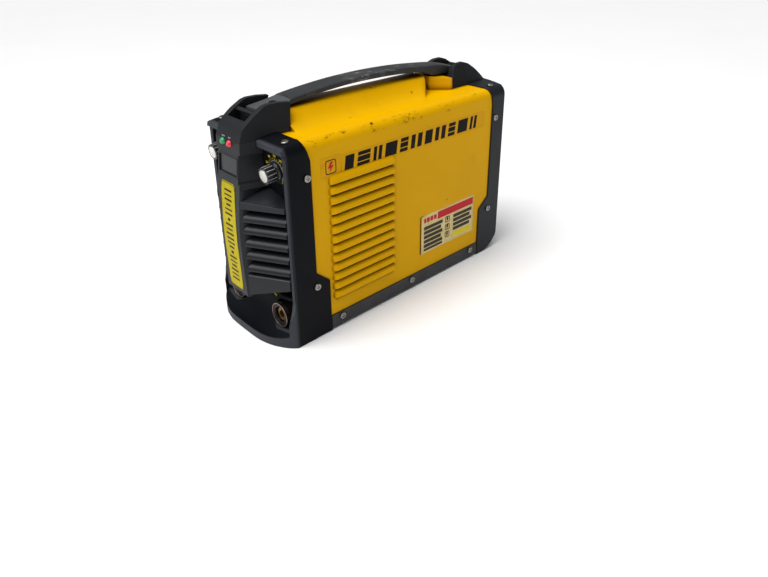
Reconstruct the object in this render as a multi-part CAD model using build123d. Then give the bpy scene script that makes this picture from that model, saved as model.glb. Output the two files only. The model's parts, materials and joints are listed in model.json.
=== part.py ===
from build123d import *
from math import cos, radians, sin, tan
import os

# Portable stick welding inverter: yellow folded cover between two black moulded ends.
# X is the machine's width, -Y the control face, +Z up. The machine stands on z = 0.
# All sizes are in millimetres.

os.makedirs("parts", exist_ok=True)

# ---------------------------------------------------------------- driving dimensions
body_half_width = 76.0
body_height = 247.5
body_corner_radius = 13.0
moulding_wall = 2.5

rim_front_y = -186.7
brow_front_y = -189.7
brow_lower_z = 236.5
panel_lean_deg = 6.0
panel_y_at_knob = -181.5

cover_half_width = 74.0
cover_top_z = 245.5
sheet = 1.2
fit_gap = 0.3

pan_floor_z = 3.0
pan_half_width = 75.4
pan_upstand_z = 20.4

louvre_count = 13
louvre_first_z = 189.5
louvre_pitch = 12.2
louvre_front_y = -131.0
louvre_rear_y = -30.0
louvre_height = 9.9
louvre_bulge = 3.9

knob_x = 52.0
knob_z = 214.0
dial_radius = 15.5
knob_skirt_radius = 11.0
knob_grip_radius = 8.6
knob_length = 17.5
shaft_radius = 3.0
shaft_clearance = 0.05

socket_x = 45.0
socket_z = 32.6
socket_front_y = -190.0
socket_radius = 15.0
socket_panel_y = -172.0
contact_bore_radius = 4.6

handle_half_width = 15.5
rail_top_half_width = 22.5
rail_base_half_width = 34.5

rear_panel_y = 168.0
rear_rim_y = 180.0
fan_centre_z = 118.0
fan_half_size = 60.0
fan_front_y = 122.0
fan_depth = 38.0


# ---------------------------------------------------------------- helpers
def prism_x(points, x0, x1):
    """Side profile in (y, z) pushed from x0 to x1."""
    face = Plane.YZ.offset(x0) * Polygon(*points, align=None)
    return extrude(face, amount=x1 - x0, dir=(1, 0, 0))


def prism_y(points, y0, y1):
    """Front profile in (x, z) pushed from y0 to y1."""
    face = Plane.XZ.offset(-y0) * Polygon(*points, align=None)
    return extrude(face, amount=y1 - y0, dir=(0, 1, 0))


def prism_z(points, z0, z1):
    """Plan outline in (x, y) pushed from z0 to z1."""
    face = Plane.XY.offset(z0) * Polygon(*points, align=None)
    return extrude(face, amount=z1 - z0, dir=(0, 0, 1))


def block(x0, x1, y0, y1, z0, z1):
    """Box between two corners."""
    centre = Pos((x0 + x1) / 2, (y0 + y1) / 2, (z0 + z1) / 2)
    return centre * Box(x1 - x0, y1 - y0, z1 - z0)


def rod_x(y, z, radius, x0, x1):
    return Pos((x0 + x1) / 2, y, z) * Rot(0, 90, 0) * Cylinder(radius, x1 - x0)


def rod_y(x, z, radius, y0, y1):
    return Pos(x, (y0 + y1) / 2, z) * Rot(90, 0, 0) * Cylinder(radius, y1 - y0)


def rod_z(x, y, radius, z0, z1):
    return Pos(x, y, (z0 + z1) / 2) * Cylinder(radius, z1 - z0)


def mirrored(points):
    """Close a half outline given for x >= 0 with its mirror image."""
    return points + [(-x, y) for x, y in reversed(points) if x > 0]


def arch(half_width, z0, z1, top_radius, foot_radius, y0, y1):
    """Rectangular front profile with rounded top and bottom corners, pushed along Y."""
    sketch = Polygon((-half_width, z0), (half_width, z0), (half_width, z1), (-half_width, z1), align=None)
    sketch = fillet(sketch.vertices().group_by(Axis.Y)[-1], top_radius)
    if foot_radius > 0:
        sketch = fillet(sketch.vertices().group_by(Axis.Y)[0], foot_radius)
    return extrude(Plane.XZ.offset(-y0) * sketch, amount=y1 - y0, dir=(0, 1, 0))


def pan_head(radius, height):
    """Pan-head screw top with a cross recess, standing on z = 0."""
    head = Cylinder(radius, height, align=(Align.CENTER, Align.CENTER, Align.MIN))
    head = fillet(head.edges().group_by(Axis.Z)[-1], height * 0.6)
    depth = height * 0.55
    for turn in (0, 90):
        slot = Rot(0, 0, turn) * Box(radius * 1.1, radius * 0.26, depth)
        head -= Pos(0, 0, height) * slot
    return head


def screw(radius, height, shank_radius, shank_length):
    """Screw with its head seat on z = 0 and its shank pointing to -Z."""
    shank = Pos(0, 0, -shank_length / 2 + 0.1) * Cylinder(shank_radius, shank_length + 0.2)
    return pan_head(radius, height) + shank


def joined(pieces):
    total = pieces[0]
    for piece in pieces[1:]:
        total += piece
    return total


def save(name, shape):
    """Write one node; several separate solids may share it."""
    export_step(Compound(children=list(shape.solids())), "parts/" + name + ".step")


# ---------------------------------------------------------------- shared outlines
panel_tan = tan(radians(panel_lean_deg))


def panel_y(z):
    """Front surface of the leaning control panel."""
    return panel_y_at_knob - (z - knob_z) * panel_tan


grille_panel_y = panel_y(178.0)

chin_outline = mirrored([
    (0.0, -211.5), (20.9, -211.3), (30.5, -210.6), (38.8, -209.0), (46.2, -207.0),
    (52.7, -204.5), (58.3, -201.6), (63.7, -198.6), (68.6, -195.2), (72.6, -191.4),
    (75.0, -188.6), (76.0, -185.6), (76.0, -160.0),
])

scoop_y = -212.0
scoop_z = 42.0
scoop_radius = 31.0
scoop_half_width = 69.5

# ---------------------------------------------------------------- front bezel
front_side = [
    (rim_front_y, 0), (rim_front_y, brow_lower_z), (brow_front_y, brow_lower_z),
    (brow_front_y, 243.0), (-180.0, 245.5), (-171.0, 247.1), (-162.3, body_height),
    (-155.0, 225.0), (-155.0, 87.0), (-136.5, 71.0), (-136.5, 0),
]
front_bezel = arch(body_half_width, 0, body_height, body_corner_radius, 2.0, -190.0, -136.0)
front_bezel &= prism_x(front_side, -80, 80)
front_bezel += prism_z(chin_outline, 0, 61.0)

slab_back = [
    (panel_y(246) + 2.6, 246), (grille_panel_y + 2.6, 178), (grille_panel_y + 2.6, 58),
    (grille_panel_y + 2.6, 2.5), (-130, 2.5), (-130, 246),
]
cavity = arch(73.4, moulding_wall, 242.2, 9.5, 0, -186.0, -130.0) & prism_x(slab_back, -80, 80)
front_bezel -= cavity
front_bezel -= arch(cover_half_width + fit_gap, moulding_wall, cover_top_z + fit_gap, 11.2, 0, -170.5, -130.0)

lower_plan = mirrored([
    (0.0, -208.5), (28.0, -207.8), (50.0, -202.0), (62.0, -194.0), (66.0, -188.0), (66.0, -170.0),
])
lower_cavity = prism_z(lower_plan, moulding_wall, 58.5)
lower_cavity -= rod_x(scoop_y, scoop_z, scoop_radius + moulding_wall, -80, 80)
front_bezel -= lower_cavity

for side in (-1, 1):
    near, far = side * 25.5, side * (scoop_half_width + moulding_wall)
    backing = block(min(near, far), max(near, far), -203.0, -169.5, 10.5, 62.0)
    front_bezel += backing & prism_z(chin_outline, 0, 61.0)
front_bezel -= rod_x(scoop_y, scoop_z, scoop_radius, -scoop_half_width, scoop_half_width)
pocket_radius = 17.0
for side in (-1, 1):
    front_bezel -= rod_y(side * socket_x, socket_z, pocket_radius, -200.0, socket_panel_y)
    pocket_front = [
        (socket_x, socket_z - pocket_radius), (scoop_half_width, socket_z - pocket_radius + 2.5),
        (scoop_half_width, 61.6), (58.0, 55.6), (50.0, 51.2), (socket_x, socket_z + pocket_radius),
    ]
    front_bezel -= prism_y([(side * x, z) for x, z in pocket_front], -200.0, socket_panel_y)
    front_bezel -= rod_y(side * socket_x, socket_z, 13.0, -180.0, -160.0)

corner_sweep = [
    (rim_front_y, 62.0), (rim_front_y, 59.0), (-188.2, 50.0), (-190.6, 41.0), (-194.2, 32.0),
    (-200.0, 24.0), (-215.0, 24.0), (-215.0, 62.0),
]
for side in (-1, 1):
    inner = side * scoop_half_width
    front_bezel -= prism_x(corner_sweep, min(inner, side * 80), max(inner, side * 80))

recess_front = [(-200, 61.0), (grille_panel_y, 61.0), (grille_panel_y, 178), (panel_y(240), 240), (-200, 240)]
recess = arch(scoop_half_width, 61.0, 236.5, 7.0, 0, -200.0, -170.0) & prism_x(recess_front, -80, 80)
front_bezel -= recess
for side in (-1, 1):
    low = min(side * 29.0, side * 67.5)
    high = max(side * 29.0, side * 67.5)
    front_bezel -= block(low, high, -190.0, -170.0, 64.0, 168.0)
    shaft_hole = Pos(side * knob_x, panel_y_at_knob, knob_z) * Rot(90 + panel_lean_deg, 0, 0)
    front_bezel -= shaft_hole * Cylinder(3.8, 12)
front_bezel -= block(-16, 16, -190, -170, 150, 230)

side_screw_points = [(-160.8, 206.0), (-155.5, 70.0), (155.5, 70.0), (160.8, 206.0)]
for y, z in side_screw_points[:2]:
    front_bezel -= rod_x(y, z, 2.3, -90, 90)
top_screw_x = 62.0
front_top_screw_y = -176.0
top_slope = Rot(10, 0, 0)
front_top_screw_z = 246.25
for side in (-1, 1):
    screw_hole = Pos(side * top_screw_x, front_top_screw_y, front_top_screw_z) * top_slope
    front_bezel -= screw_hole * Cylinder(2.3, 20)

# ---------------------------------------------------------------- prow and front horn
prow_front = [
    (-206.8, 243.0), (-208.0, 229.0), (-209.6, 214.0), (-211.9, 195.0), (-213.6, 175.0),
    (-215.2, 150.0), (-216.0, 127.0), (-215.5, 104.0), (-215.0, 85.0), (-214.6, 57.5),
]
prow_back = [
    (-190.5, 57.5), (-189.0, 61.3), (grille_panel_y - fit_gap, 61.3), (grille_panel_y - fit_gap, 178.0),
    (panel_y(236.2) - fit_gap, 236.2), (-190.0, 236.2), (-190.0, 243.4),
]
prow_upper_plan = mirrored([
    (0.0, -217.0), (14.5, -217.0), (20.0, -215.5), (23.5, -212.0), (24.0, -207.0), (33.0, -178.0),
])
prow_lower_plan = mirrored([
    (0.0, -217.0), (14.5, -217.0), (20.0, -215.5), (23.5, -212.0), (24.6, -208.0), (24.6, -178.0),
])


def prow_block(front_shift, back_shift, side_shrink, z0, z1):
    """Prow between its front curve and the panel; the shifts leave the shell wall."""
    front = [(y + front_shift, z) for y, z in prow_front]
    back = [(y + back_shift, z) for y, z in prow_back]
    profile = prism_x(front + back, -40, 40)
    upper = prism_z([(x * side_shrink, y) for x, y in prow_upper_plan], 190.0, 244.0)
    lower = prism_z([(x * side_shrink, y) for x, y in prow_lower_plan], 50.0, 190.0)
    return profile & (upper + lower) & block(-40, 40, -230, -150, z0, z1)


front_spine = prow_block(0, 0, 1.0, 50, 244)

horn_side = [
    (-206.8, 242.9), (-202.5, 255.5), (-197.0, 261.0), (-187.0, 268.5), (-174.0, 276.0),
    (-168.0, 277.5), (-154.0, 277.2), (-139.5, 275.3), (-147.2, 247.8), (-147.2, 245.9),
    (-161.0, 245.9), (-162.0, 247.9), (-163.5, 247.9), (-171.2, 247.5), (-180.2, 245.9),
    (-190.0, 243.5), (-191.0, 242.9),
]
horn_base_plan = mirrored([
    (0.0, -208.0), (23.2, -208.0), (28.5, -186.0), (33.5, -165.0), (rail_base_half_width, -138.0),
])
horn_top_plan = mirrored([
    (0.0, -208.0), (21.5, -208.0), (22.0, -186.0),
    (rail_top_half_width, -165.0), (rail_top_half_width, -138.0),
])


def leaning_block(base, top, z0, z1):
    """Loft between two plan outlines with the same number of corners."""
    lower = Plane.XY.offset(z0) * Polygon(*base, align=None)
    upper = Plane.XY.offset(z1) * Polygon(*top, align=None)
    return loft([lower, upper], ruled=True)


horn = leaning_block(horn_base_plan, horn_top_plan, 242.0, 280.0) & prism_x(horn_side, -50, 50)
front_spine += horn

# Hollow inside of the prow, open to the panel behind it.
inner_front = [(y + 3.0, z) for y, z in prow_front]
inner_profile = [(y, min(max(z, 60.5), 240.0)) for y, z in inner_front]
inner_back = [(-170.0, 60.5), (-170.0, 240.0)]
prow_hollow = prism_x(inner_profile + inner_back, -40, 40)
inner_upper_plan = mirrored([(0.0, -220.0), (20.5, -220.0), (21.3, -206.0), (29.5, -178.0), (29.5, -170.0)])
inner_lower_plan = mirrored([(0.0, -220.0), (20.5, -220.0), (21.8, -208.0), (21.8, -170.0)])
inner_upper = prism_z(inner_upper_plan, 190.0, 240.0)
inner_lower = prism_z(inner_lower_plan, 60.5, 190.0)
band_low_z = 197.0
band_high_z = 229.0
for side in (-1, 1):
    inside = [(18.0, -222.0), (18.4, -207.0), (26.5, -180.0), (40.0, -180.0), (40.0, -222.0)]
    prow_hollow -= prism_z([(side * x, y) for x, y in inside], band_low_z - 2.0, band_high_z + 2.0)
front_spine -= prow_hollow & (inner_upper + inner_lower)

# Narrower band of the prow beside the display.
for side in (-1, 1):
    notch_plan = [(20.6, -222.0), (20.9, -207.0), (28.7, -181.5), (40.0, -181.5), (40.0, -222.0)]
    front_spine -= prism_z([(side * x, y) for x, y in notch_plan], band_low_z, band_high_z)

# Bucket between the two rails, with two cross ribs.
pocket_side = [
    (-194.5, 266.0), (-191.5, 251.5), (-180.0, 250.5), (-130.0, 250.5), (-130.0, 290.0),
    (-194.5, 290.0),
]
pocket_half_base = 20.0
pocket_half_top = 16.8
pocket_base = [(-17.5, -196.0), (17.5, -196.0), (pocket_half_base, -130.0), (-pocket_half_base, -130.0)]
pocket_top = [(-16.0, -196.0), (16.0, -196.0), (pocket_half_top, -130.0), (-pocket_half_top, -130.0)]
pocket = leaning_block(pocket_base, pocket_top, 249.0, 282.0) & prism_x(pocket_side, -50, 50)
front_spine -= pocket
rib_upper = prism_x([(-183.5, 268.2), (-179.5, 270.4), (-178.3, 267.4), (-182.3, 265.4)], -18.5, 18.5)
rib_lower = prism_x([(-179.0, 262.0), (-174.5, 263.5), (-174.5, 250.0), (-179.0, 250.0)], -18.5, 18.5)
front_spine += rib_upper + rib_lower

# Openings in the prow face.
window_half = 17.5
window_cut = [(-216, 204.3), (-203.5, 204.3), (-203.5, 223.3), (-216, 223.3)]
front_spine -= prism_x(window_cut, -window_half - 0.3, window_half + 0.3)
led_points = [(-9.0, 237.0), (4.0, 236.6)]
led_radius = 2.6
for x, z in led_points:
    front_spine -= rod_y(x, z, led_radius + 0.1, -215, -195)
handle_screw_y = -147.0
front_spine -= rod_z(0, handle_screw_y, 2.2, 240, 262)

window_side = [(-209.2, 204.6), (-206.6, 204.6), (-204.9, 223.0), (-207.5, 223.0)]
display_window = prism_x(window_side, -window_half, window_half)
led_green = rod_y(led_points[0][0], led_points[0][1], led_radius, -207.0, -197.6)
led_red = rod_y(led_points[1][0], led_points[1][1], led_radius, -207.0, -197.6)
led_green = led_green + Pos(led_points[0][0], -207.0, led_points[0][1]) * Sphere(led_radius)
led_red = led_red + Pos(led_points[1][0], -207.0, led_points[1][1]) * Sphere(led_radius)
display_board = block(-16, 16, -196.4, -194.8, 198.0, 239.0)
display_module = block(-15, 15, -203.0, -196.6, 206.0, 221.5)

label_curve = [(y, z) for y, z in prow_front if 60 < z < 196]
label_lower = (-214.75, 63.0)
label_front = [(y - 0.45, z) for y, z in label_curve + [label_lower]]
label_rear = [(y - 0.05, z) for y, z in label_curve + [label_lower]]
spine_label = prism_x(label_front + list(reversed(label_rear)), -13.8, 13.8)
label_mask = Polygon((-13.5, 63), (13.5, 63), (13.5, 194.5), (-13.5, 194.5), align=None)
label_mask = fillet(label_mask.vertices(), 4.0)
spine_label &= extrude(Plane.XZ.offset(230) * label_mask, amount=40, dir=(0, 1, 0))

# ---------------------------------------------------------------- air grilles either side of the prow
grille_inner_x = 26.0
grille_outer_x = 69.0
grille_slope = 0.571
grille_front_y = -212.5
fin_lower_edges = [154.0, 139.5, 123.5, 108.0, 92.0]


def grille_y(x):
    return grille_front_y + grille_slope * (x - grille_inner_x)


def grille_bar(profile):
    """Bar along the slanted grille line; profile points are (depth behind the line, z)."""
    a = Vector(grille_inner_x - 6, grille_y(grille_inner_x - 6), 0)
    b = Vector(grille_outer_x + 6, grille_y(grille_outer_x + 6), 0)
    along = (b - a).normalized()
    inward = Vector(-along.Y, along.X, 0)
    plane = Plane(origin=a, x_dir=inward, z_dir=along.cross(Vector(0, 0, 1)).cross(Vector(0, 0, 1)) * -1)
    face = plane * Polygon(*profile, align=None)
    return extrude(face, amount=(b - a).length, dir=along)


def hood_z(x, y):
    return 178.0 - 0.236 * (x - grille_inner_x) + 0.32 * (y - grille_front_y)


fin_profile = [
    (0.7, 0.0), (0.0, 1.2), (0.0, 3.4), (1.0, 5.4), (3.0, 7.4), (6.0, 9.2), (10.0, 10.6), (14.0, 11.4),
    (14.0, 9.4), (10.4, 8.6), (6.8, 7.3), (4.2, 5.8), (2.6, 4.2), (2.0, 2.4), (2.0, 0.0),
]
fins = []
for low in fin_lower_edges:
    fins.append(grille_bar([(depth, low + rise) for depth, rise in fin_profile]))
hood_profile = [(0, 169.8), (0, 200.0), (40, 200.0), (40, 188.0), (8.0, 173.0), (2.4, 172.4), (2.4, 169.8)]
hood = grille_bar(hood_profile)
hood_top = [(18.0, -230.0), (77.0, -230.0), (77.0, -150.0), (18.0, -150.0)]


def sloped_slab(height_at, drop):
    """Slab over the grille between a sloped surface and its copy moved by drop."""
    corners = [Vector(x, y, height_at(x, y)) for x, y in hood_top]
    return Solid.extrude(Face(Wire.make_polygon(corners, close=True)), Vector(0, 0, drop))


def apron_z(x, y):
    return 62.0 + 0.28 * (x - grille_inner_x)


hood_keep = sloped_slab(hood_z, -60)
hood = hood & hood_keep
apron = grille_bar([(0, 50.0), (0, 86.0), (1.4, 87.6), (14.0, 92.6), (14.0, 90.6), (2.2, 84.9), (2.2, 50.0)])
apron = apron - sloped_slab(apron_z, -30)
back_limit = block(grille_inner_x - 2, grille_outer_x, -220, grille_panel_y - 0.2, 61.5, 192)
inner_web = prism_z([(25.0, -200.5), (27.2, -199.5), (27.2, -178.1), (25.0, -178.1)], 72.0, 184.0)
web_front_y = grille_y(68.0) + 6.0
outer_web = prism_z([(67.0, web_front_y), (69.0, web_front_y), (69.0, -178.1), (67.0, -178.1)], 74.2, 174.0)
ceiling = grille_bar([(2.0, 73.5), (60, 73.5), (60, 75.7), (2.0, 75.7)])
grille_right = joined(fins + [hood, apron, inner_web, outer_web, ceiling]) & back_limit
prow_clearance = prism_z([(x * 1.012, y) for x, y in prow_upper_plan], 190.0, 244.0)
prow_clearance += prism_z([(x * 1.012, y) for x, y in prow_lower_plan], 50.0, 190.0)
grille_right -= prow_clearance
grille_right -= sloped_slab(hood_z, 60)
behind_panel = [(panel_y(178) - 0.2, 178), (panel_y(200) - 0.2, 200), (-160, 200), (-160, 178)]
grille_right -= prism_x(behind_panel, 0, 80)
grille_left = mirror(grille_right, about=Plane.YZ)

# ---------------------------------------------------------------- folded steel cover
ridge_outer_half = [
    (45.5, 245.0), (40.0, 246.6), (34.0, 249.4), (28.0, 253.4), (23.0, 258.0),
    (19.0, 262.2), (15.0, 265.2), (8.0, 266.9), (0.0, 267.3),
]
ridge_front_y = -146.5
ridge_notch_y = -140.5
ridge_plan = mirrored([
    (0.0, 84.0), (17.0, 83.0), (46.0, 53.0), (46.0, ridge_front_y), (24.0, ridge_front_y),
    (24.0, ridge_notch_y), (0.0, ridge_notch_y),
])
ridge_inner_plan = mirrored([
    (0.0, 82.8), (16.5, 81.8), (44.8, 52.5), (44.8, ridge_front_y + sheet), (25.2, ridge_front_y + sheet),
    (25.2, ridge_notch_y + sheet), (0.0, ridge_notch_y + sheet),
])


def ridge_section(drop, foot_z):
    """Front profile of the ridge, lowered by drop for its inside or raised for a clearance."""
    half = [(max(x - drop * 0.6, 0.0), z - drop) for x, z in ridge_outer_half]
    left = [(-x, z) for x, z in half if x > 0]
    right = list(reversed(half))
    return [(left[0][0], foot_z)] + left + right + [(right[-1][0], foot_z)]


front_spine -= prism_y(ridge_section(-fit_gap, 240.0), ridge_front_y - fit_gap, -130.0)

cover = arch(cover_half_width, 6.0, cover_top_z, 11.0, 0, -170.0, 165.0)
cover += prism_y(ridge_section(0.0, 240.0), ridge_front_y, 90.0) & prism_z(ridge_plan, 200.0, 300.0)
saddle_plan = mirrored([(0.0, 92.6), (12.0, 92.6), (33.6, 115.0), (33.6, 117.6)])
saddle_inner_plan = mirrored([(0.0, 93.8), (11.5, 93.8), (32.2, 115.2), (32.2, 116.4)])
saddle_side = [(90.0, 240.0), (90.0, 263.5), (105.0, 263.2), (118.0, 261.0), (118.0, 240.0)]
cover += prism_z(saddle_plan, 240.0, 270.0) & prism_x(saddle_side, -40, 40)
cover -= arch(cover_half_width - sheet, 0.0, cover_top_z - sheet, 9.8, 0, -180.0, 180.0)
cover -= prism_y(ridge_section(sheet, 236.0), ridge_front_y, 90.0) & prism_z(ridge_inner_plan, 200.0, 300.0)
saddle_inner_side = [(y, z - sheet) for y, z in saddle_side]
cover -= prism_z(saddle_inner_plan, 236.0, 270.0) & prism_x(saddle_inner_side, -40, 40)

louvre_crown = cover_half_width + louvre_bulge
louvre_outer = [
    (73.0, louvre_height), (74.0, louvre_height - 0.1), (75.5, 8.8), (76.9, 6.8), (louvre_crown - 0.2, 4.0),
    (louvre_crown, 1.6), (louvre_crown - 0.2, 0.0), (73.0, 0.0),
]
louvre_inner = [
    (71.0, louvre_height - sheet), (73.4, louvre_height - sheet - 0.1), (74.6, 7.8), (75.8, 6.2),
    (louvre_crown - sheet - 0.2, 3.8), (louvre_crown - sheet, 1.6), (louvre_crown - sheet - 0.2, -0.4),
    (71.0, -0.4),
]
for side in (-1, 1):
    for index in range(louvre_count):
        low = louvre_first_z - index * louvre_pitch
        outer = [(side * x, low + z) for x, z in louvre_outer]
        inner = [(side * x, low + z) for x, z in louvre_inner]
        cover += prism_y(outer, louvre_front_y, louvre_rear_y)
        cover -= prism_y(inner, louvre_front_y + sheet, louvre_rear_y - sheet)

base_screw_ys = [-120.0, 0.0, 120.0]
base_screw_z = 14.0
rear_top_screw_y = 163.4
for y, z in side_screw_points:
    cover -= rod_x(y, z, 2.3, -90, 90)
for y in base_screw_ys:
    cover -= rod_x(y, base_screw_z, 2.3, -90, 90)
for side in (-1, 1):
    cover -= rod_z(side * top_screw_x, rear_top_screw_y, 2.3, 235, 260)

# ---------------------------------------------------------------- base pan
pan_front_y = -135.8
pan_rear_y = 134.8
base_pan = block(-pan_half_width, pan_half_width, pan_front_y, pan_rear_y, pan_floor_z, pan_upstand_z)
base_pan -= block(-74.2, 74.2, -200, 200, pan_floor_z + sheet, 40)
base_pan += block(-72.4, 72.4, -165.0, 163.0, pan_floor_z, pan_floor_z + sheet)
for y in (-95.0, -55.0, -15.0, 25.0, 65.0):
    for x in (-36.0, 0.0, 36.0):
        base_pan -= block(x - 13, x + 13, y - 2.2, y + 2.2, 0, 8)
for y in base_screw_ys:
    base_pan -= rod_x(y, base_screw_z, 2.3, -90, 90)

# ---------------------------------------------------------------- rear bezel
rear_side = [
    (150.0, 249.0), (155.0, 225.0), (155.0, 89.0), (136.5, 74.0), (135.8, 60.0), (135.8, 0.0),
    (150.0, 0.0), (160.0, 3.0), (170.0, 9.0), (179.0, 19.0), (186.0, 43.0), (192.0, 70.0),
    (197.0, 110.0), (197.0, 249.0),
]
rear_plan = mirrored([
    (0.0, 195.0), (12.0, 194.7), (22.0, 193.8), (32.0, 192.2), (42.0, 190.0), (52.0, 187.2),
    (62.0, 183.8), (70.0, 181.4), (76.0, rear_rim_y), (76.0, 130.0),
])
rear_bezel = arch(body_half_width, 0, body_height, body_corner_radius, 2.0, 130.0, 200.0)
rear_bezel &= prism_z(rear_plan, 0, 250)
rear_bezel &= prism_x(rear_side, -80, 80)
rear_bezel -= arch(cover_half_width + fit_gap, moulding_wall, cover_top_z + fit_gap, 11.2, 0, 130.0, 165.5)
rear_bezel -= arch(scoop_half_width, 22.0, 239.0, 7.0, 4.0, rear_panel_y + 2.5, 210.0)
rear_bezel -= rod_y(0, fan_centre_z, 55.0, 160, 175)
switch_x = -38.0
switch_z = 211.0
gland_x = 40.0
gland_z = 211.0
earth_x = 52.0
earth_z = 40.0
rear_bezel -= block(switch_x - 13.6, switch_x + 13.6, 160, 175, switch_z - 10.8, switch_z + 10.8)
rear_bezel -= rod_y(gland_x, gland_z, 10.2, 160, 175)
rear_bezel -= rod_y(earth_x, earth_z, 3.2, 160, 175)
for y, z in side_screw_points[2:]:
    rear_bezel -= rod_x(y, z, 2.3, -90, 90)
for side in (-1, 1):
    rear_bezel -= rod_z(side * top_screw_x, rear_top_screw_y, 2.3, 235, 260)
fan_screw_offset = 52.5
for dx in (-1, 1):
    for dz in (-1, 1):
        rear_bezel -= rod_y(dx * fan_screw_offset, fan_centre_z + dz * fan_screw_offset, 2.2, 160, 175)

# ---------------------------------------------------------------- rear horn
rear_horn_side = [
    (118.6, 245.9), (119.2, 252.0), (130.0, 272.6), (138.0, 275.4), (151.0, 275.8), (160.0, 273.0),
    (170.0, 266.4), (181.0, 257.2), (191.5, 247.9), (150.4, 247.9), (149.4, 245.9),
]
rear_base_plan = mirrored([
    (0.0, 196.0), (28.0, 196.0), (33.0, 175.0), (rail_base_half_width, 150.0), (rail_base_half_width, 118.0),
])
rear_top_plan = mirrored([
    (0.0, 196.0), (21.0, 196.0), (22.0, 175.0), (rail_top_half_width, 150.0), (rail_top_half_width, 118.0),
])
rear_bracket = leaning_block(rear_base_plan, rear_top_plan, 242.0, 280.0) & prism_x(rear_horn_side, -50, 50)
rear_pocket_side = [
    (110.0, 253.0), (165.0, 251.5), (176.0, 252.5), (178.5, 262.0), (178.5, 290.0), (110.0, 290.0),
]
rear_pocket_base = [(-19.5, 110.0), (19.5, 110.0), (17.5, 182.0), (-17.5, 182.0)]
rear_pocket_top = [(-16.8, 110.0), (16.8, 110.0), (16.0, 182.0), (-16.0, 182.0)]
rear_pocket = leaning_block(rear_pocket_base, rear_pocket_top, 249.0, 282.0)
rear_bracket -= rear_pocket & prism_x(rear_pocket_side, -50, 50)
rear_bracket += prism_x([(166.0, 268.6), (170.4, 266.0), (169.2, 263.0), (164.8, 265.4)], -18.0, 18.0)
rear_handle_screw_y = 146.0
rear_bracket -= rod_z(0, rear_handle_screw_y, 2.2, 240, 262)

# ---------------------------------------------------------------- handle
handle_top = [
    (-171.5, 270.6), (-160.0, 272.0), (-147.0, 273.6), (-133.0, 276.0), (-115.0, 278.2), (-98.0, 279.9),
    (-69.0, 282.2), (-40.0, 283.5), (-10.0, 284.0), (29.0, 283.2), (65.0, 281.0), (103.0, 277.4),
    (125.0, 274.6), (141.0, 271.2), (152.0, 268.2), (160.0, 265.6),
]
handle_bottom = [
    (160.0, 261.5), (141.0, 264.0), (98.0, 264.4), (91.0, 267.5), (80.0, 271.2), (65.0, 273.2),
    (38.0, 275.6), (3.0, 277.2), (-46.0, 277.4), (-91.0, 274.6), (-131.0, 269.6), (-147.0, 267.6),
    (-171.5, 266.2),
]
with BuildSketch(Plane.YZ.offset(-handle_half_width)) as handle_sketch:
    with BuildLine():
        Spline(*handle_top)
        Line(handle_top[-1], handle_bottom[0])
        Polyline(*handle_bottom[:4])
        Spline(*handle_bottom[3:])
        Line(handle_bottom[-1], handle_top[0])
    make_face()
handle_bar = extrude(handle_sketch.sketch, amount=2 * handle_half_width, dir=(1, 0, 0))
handle_bar = chamfer(handle_bar.faces().sort_by(Axis.X)[0].edges().sort_by(Axis.Z)[-1:], 1.6)
handle_bar = chamfer(handle_bar.faces().sort_by(Axis.X)[-1].edges().sort_by(Axis.Z)[-1:], 1.6)
for y in (handle_screw_y, rear_handle_screw_y):
    handle_bar -= rod_z(0, y, 2.3, 255, 290)
    handle_bar -= rod_z(0, y, 4.6, 270.2 if y < 0 else 267.6, 290)
handle_bosses = []
for y, foot, top in ((handle_screw_y, 250.8, 266.6), (rear_handle_screw_y, 252.8, 262.0)):
    boss = rod_z(0, y, 5.5, foot, top) - rod_z(0, y, 2.3, foot - 1, top + 1)
    handle_bosses.append(boss)
handle_spacers = joined(handle_bosses)
handle_screws = []
for y, seat, length in ((handle_screw_y, 270.4, 24.0), (rear_handle_screw_y, 267.8, 22.0)):
    handle_screws.append(Pos(0, y, seat) * screw(4.2, 2.2, 2.0, length))

# ---------------------------------------------------------------- screws through the outside
side_screws = []
for y, z in side_screw_points:
    for side in (-1, 1):
        seat = Pos(side * (body_half_width + 0.02), y, z) * Rot(0, side * 90, 0)
        side_screws.append(seat * screw(4.3, 2.2, 1.9, 9.0))
base_screws = []
for y in base_screw_ys:
    for side in (-1, 1):
        seat = Pos(side * (pan_half_width + 0.02), y, base_screw_z) * Rot(0, side * 90, 0)
        base_screws.append(seat * screw(4.3, 2.2, 1.9, 7.0))
top_screws = []
for side in (-1, 1):
    front_seat = Pos(side * top_screw_x, front_top_screw_y, front_top_screw_z) * top_slope * Pos(0, 0, 0.12)
    top_screws.append(front_seat * screw(4.3, 2.2, 1.9, 9.0))
    rear_seat = Pos(side * top_screw_x, rear_top_screw_y, body_height + 0.02)
    top_screws.append(rear_seat * screw(4.3, 2.2, 1.9, 9.0))

# ---------------------------------------------------------------- control knobs
lean = Rot(90 + panel_lean_deg, 0, 0)


def on_panel(x, shape):
    """Place a shape drawn along +Z so that it stands out of the leaning panel."""
    return Pos(x, panel_y_at_knob, knob_z) * lean * shape


def up(radius, z0, z1):
    return Pos(0, 0, (z0 + z1) / 2) * Cylinder(radius, z1 - z0)


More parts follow.
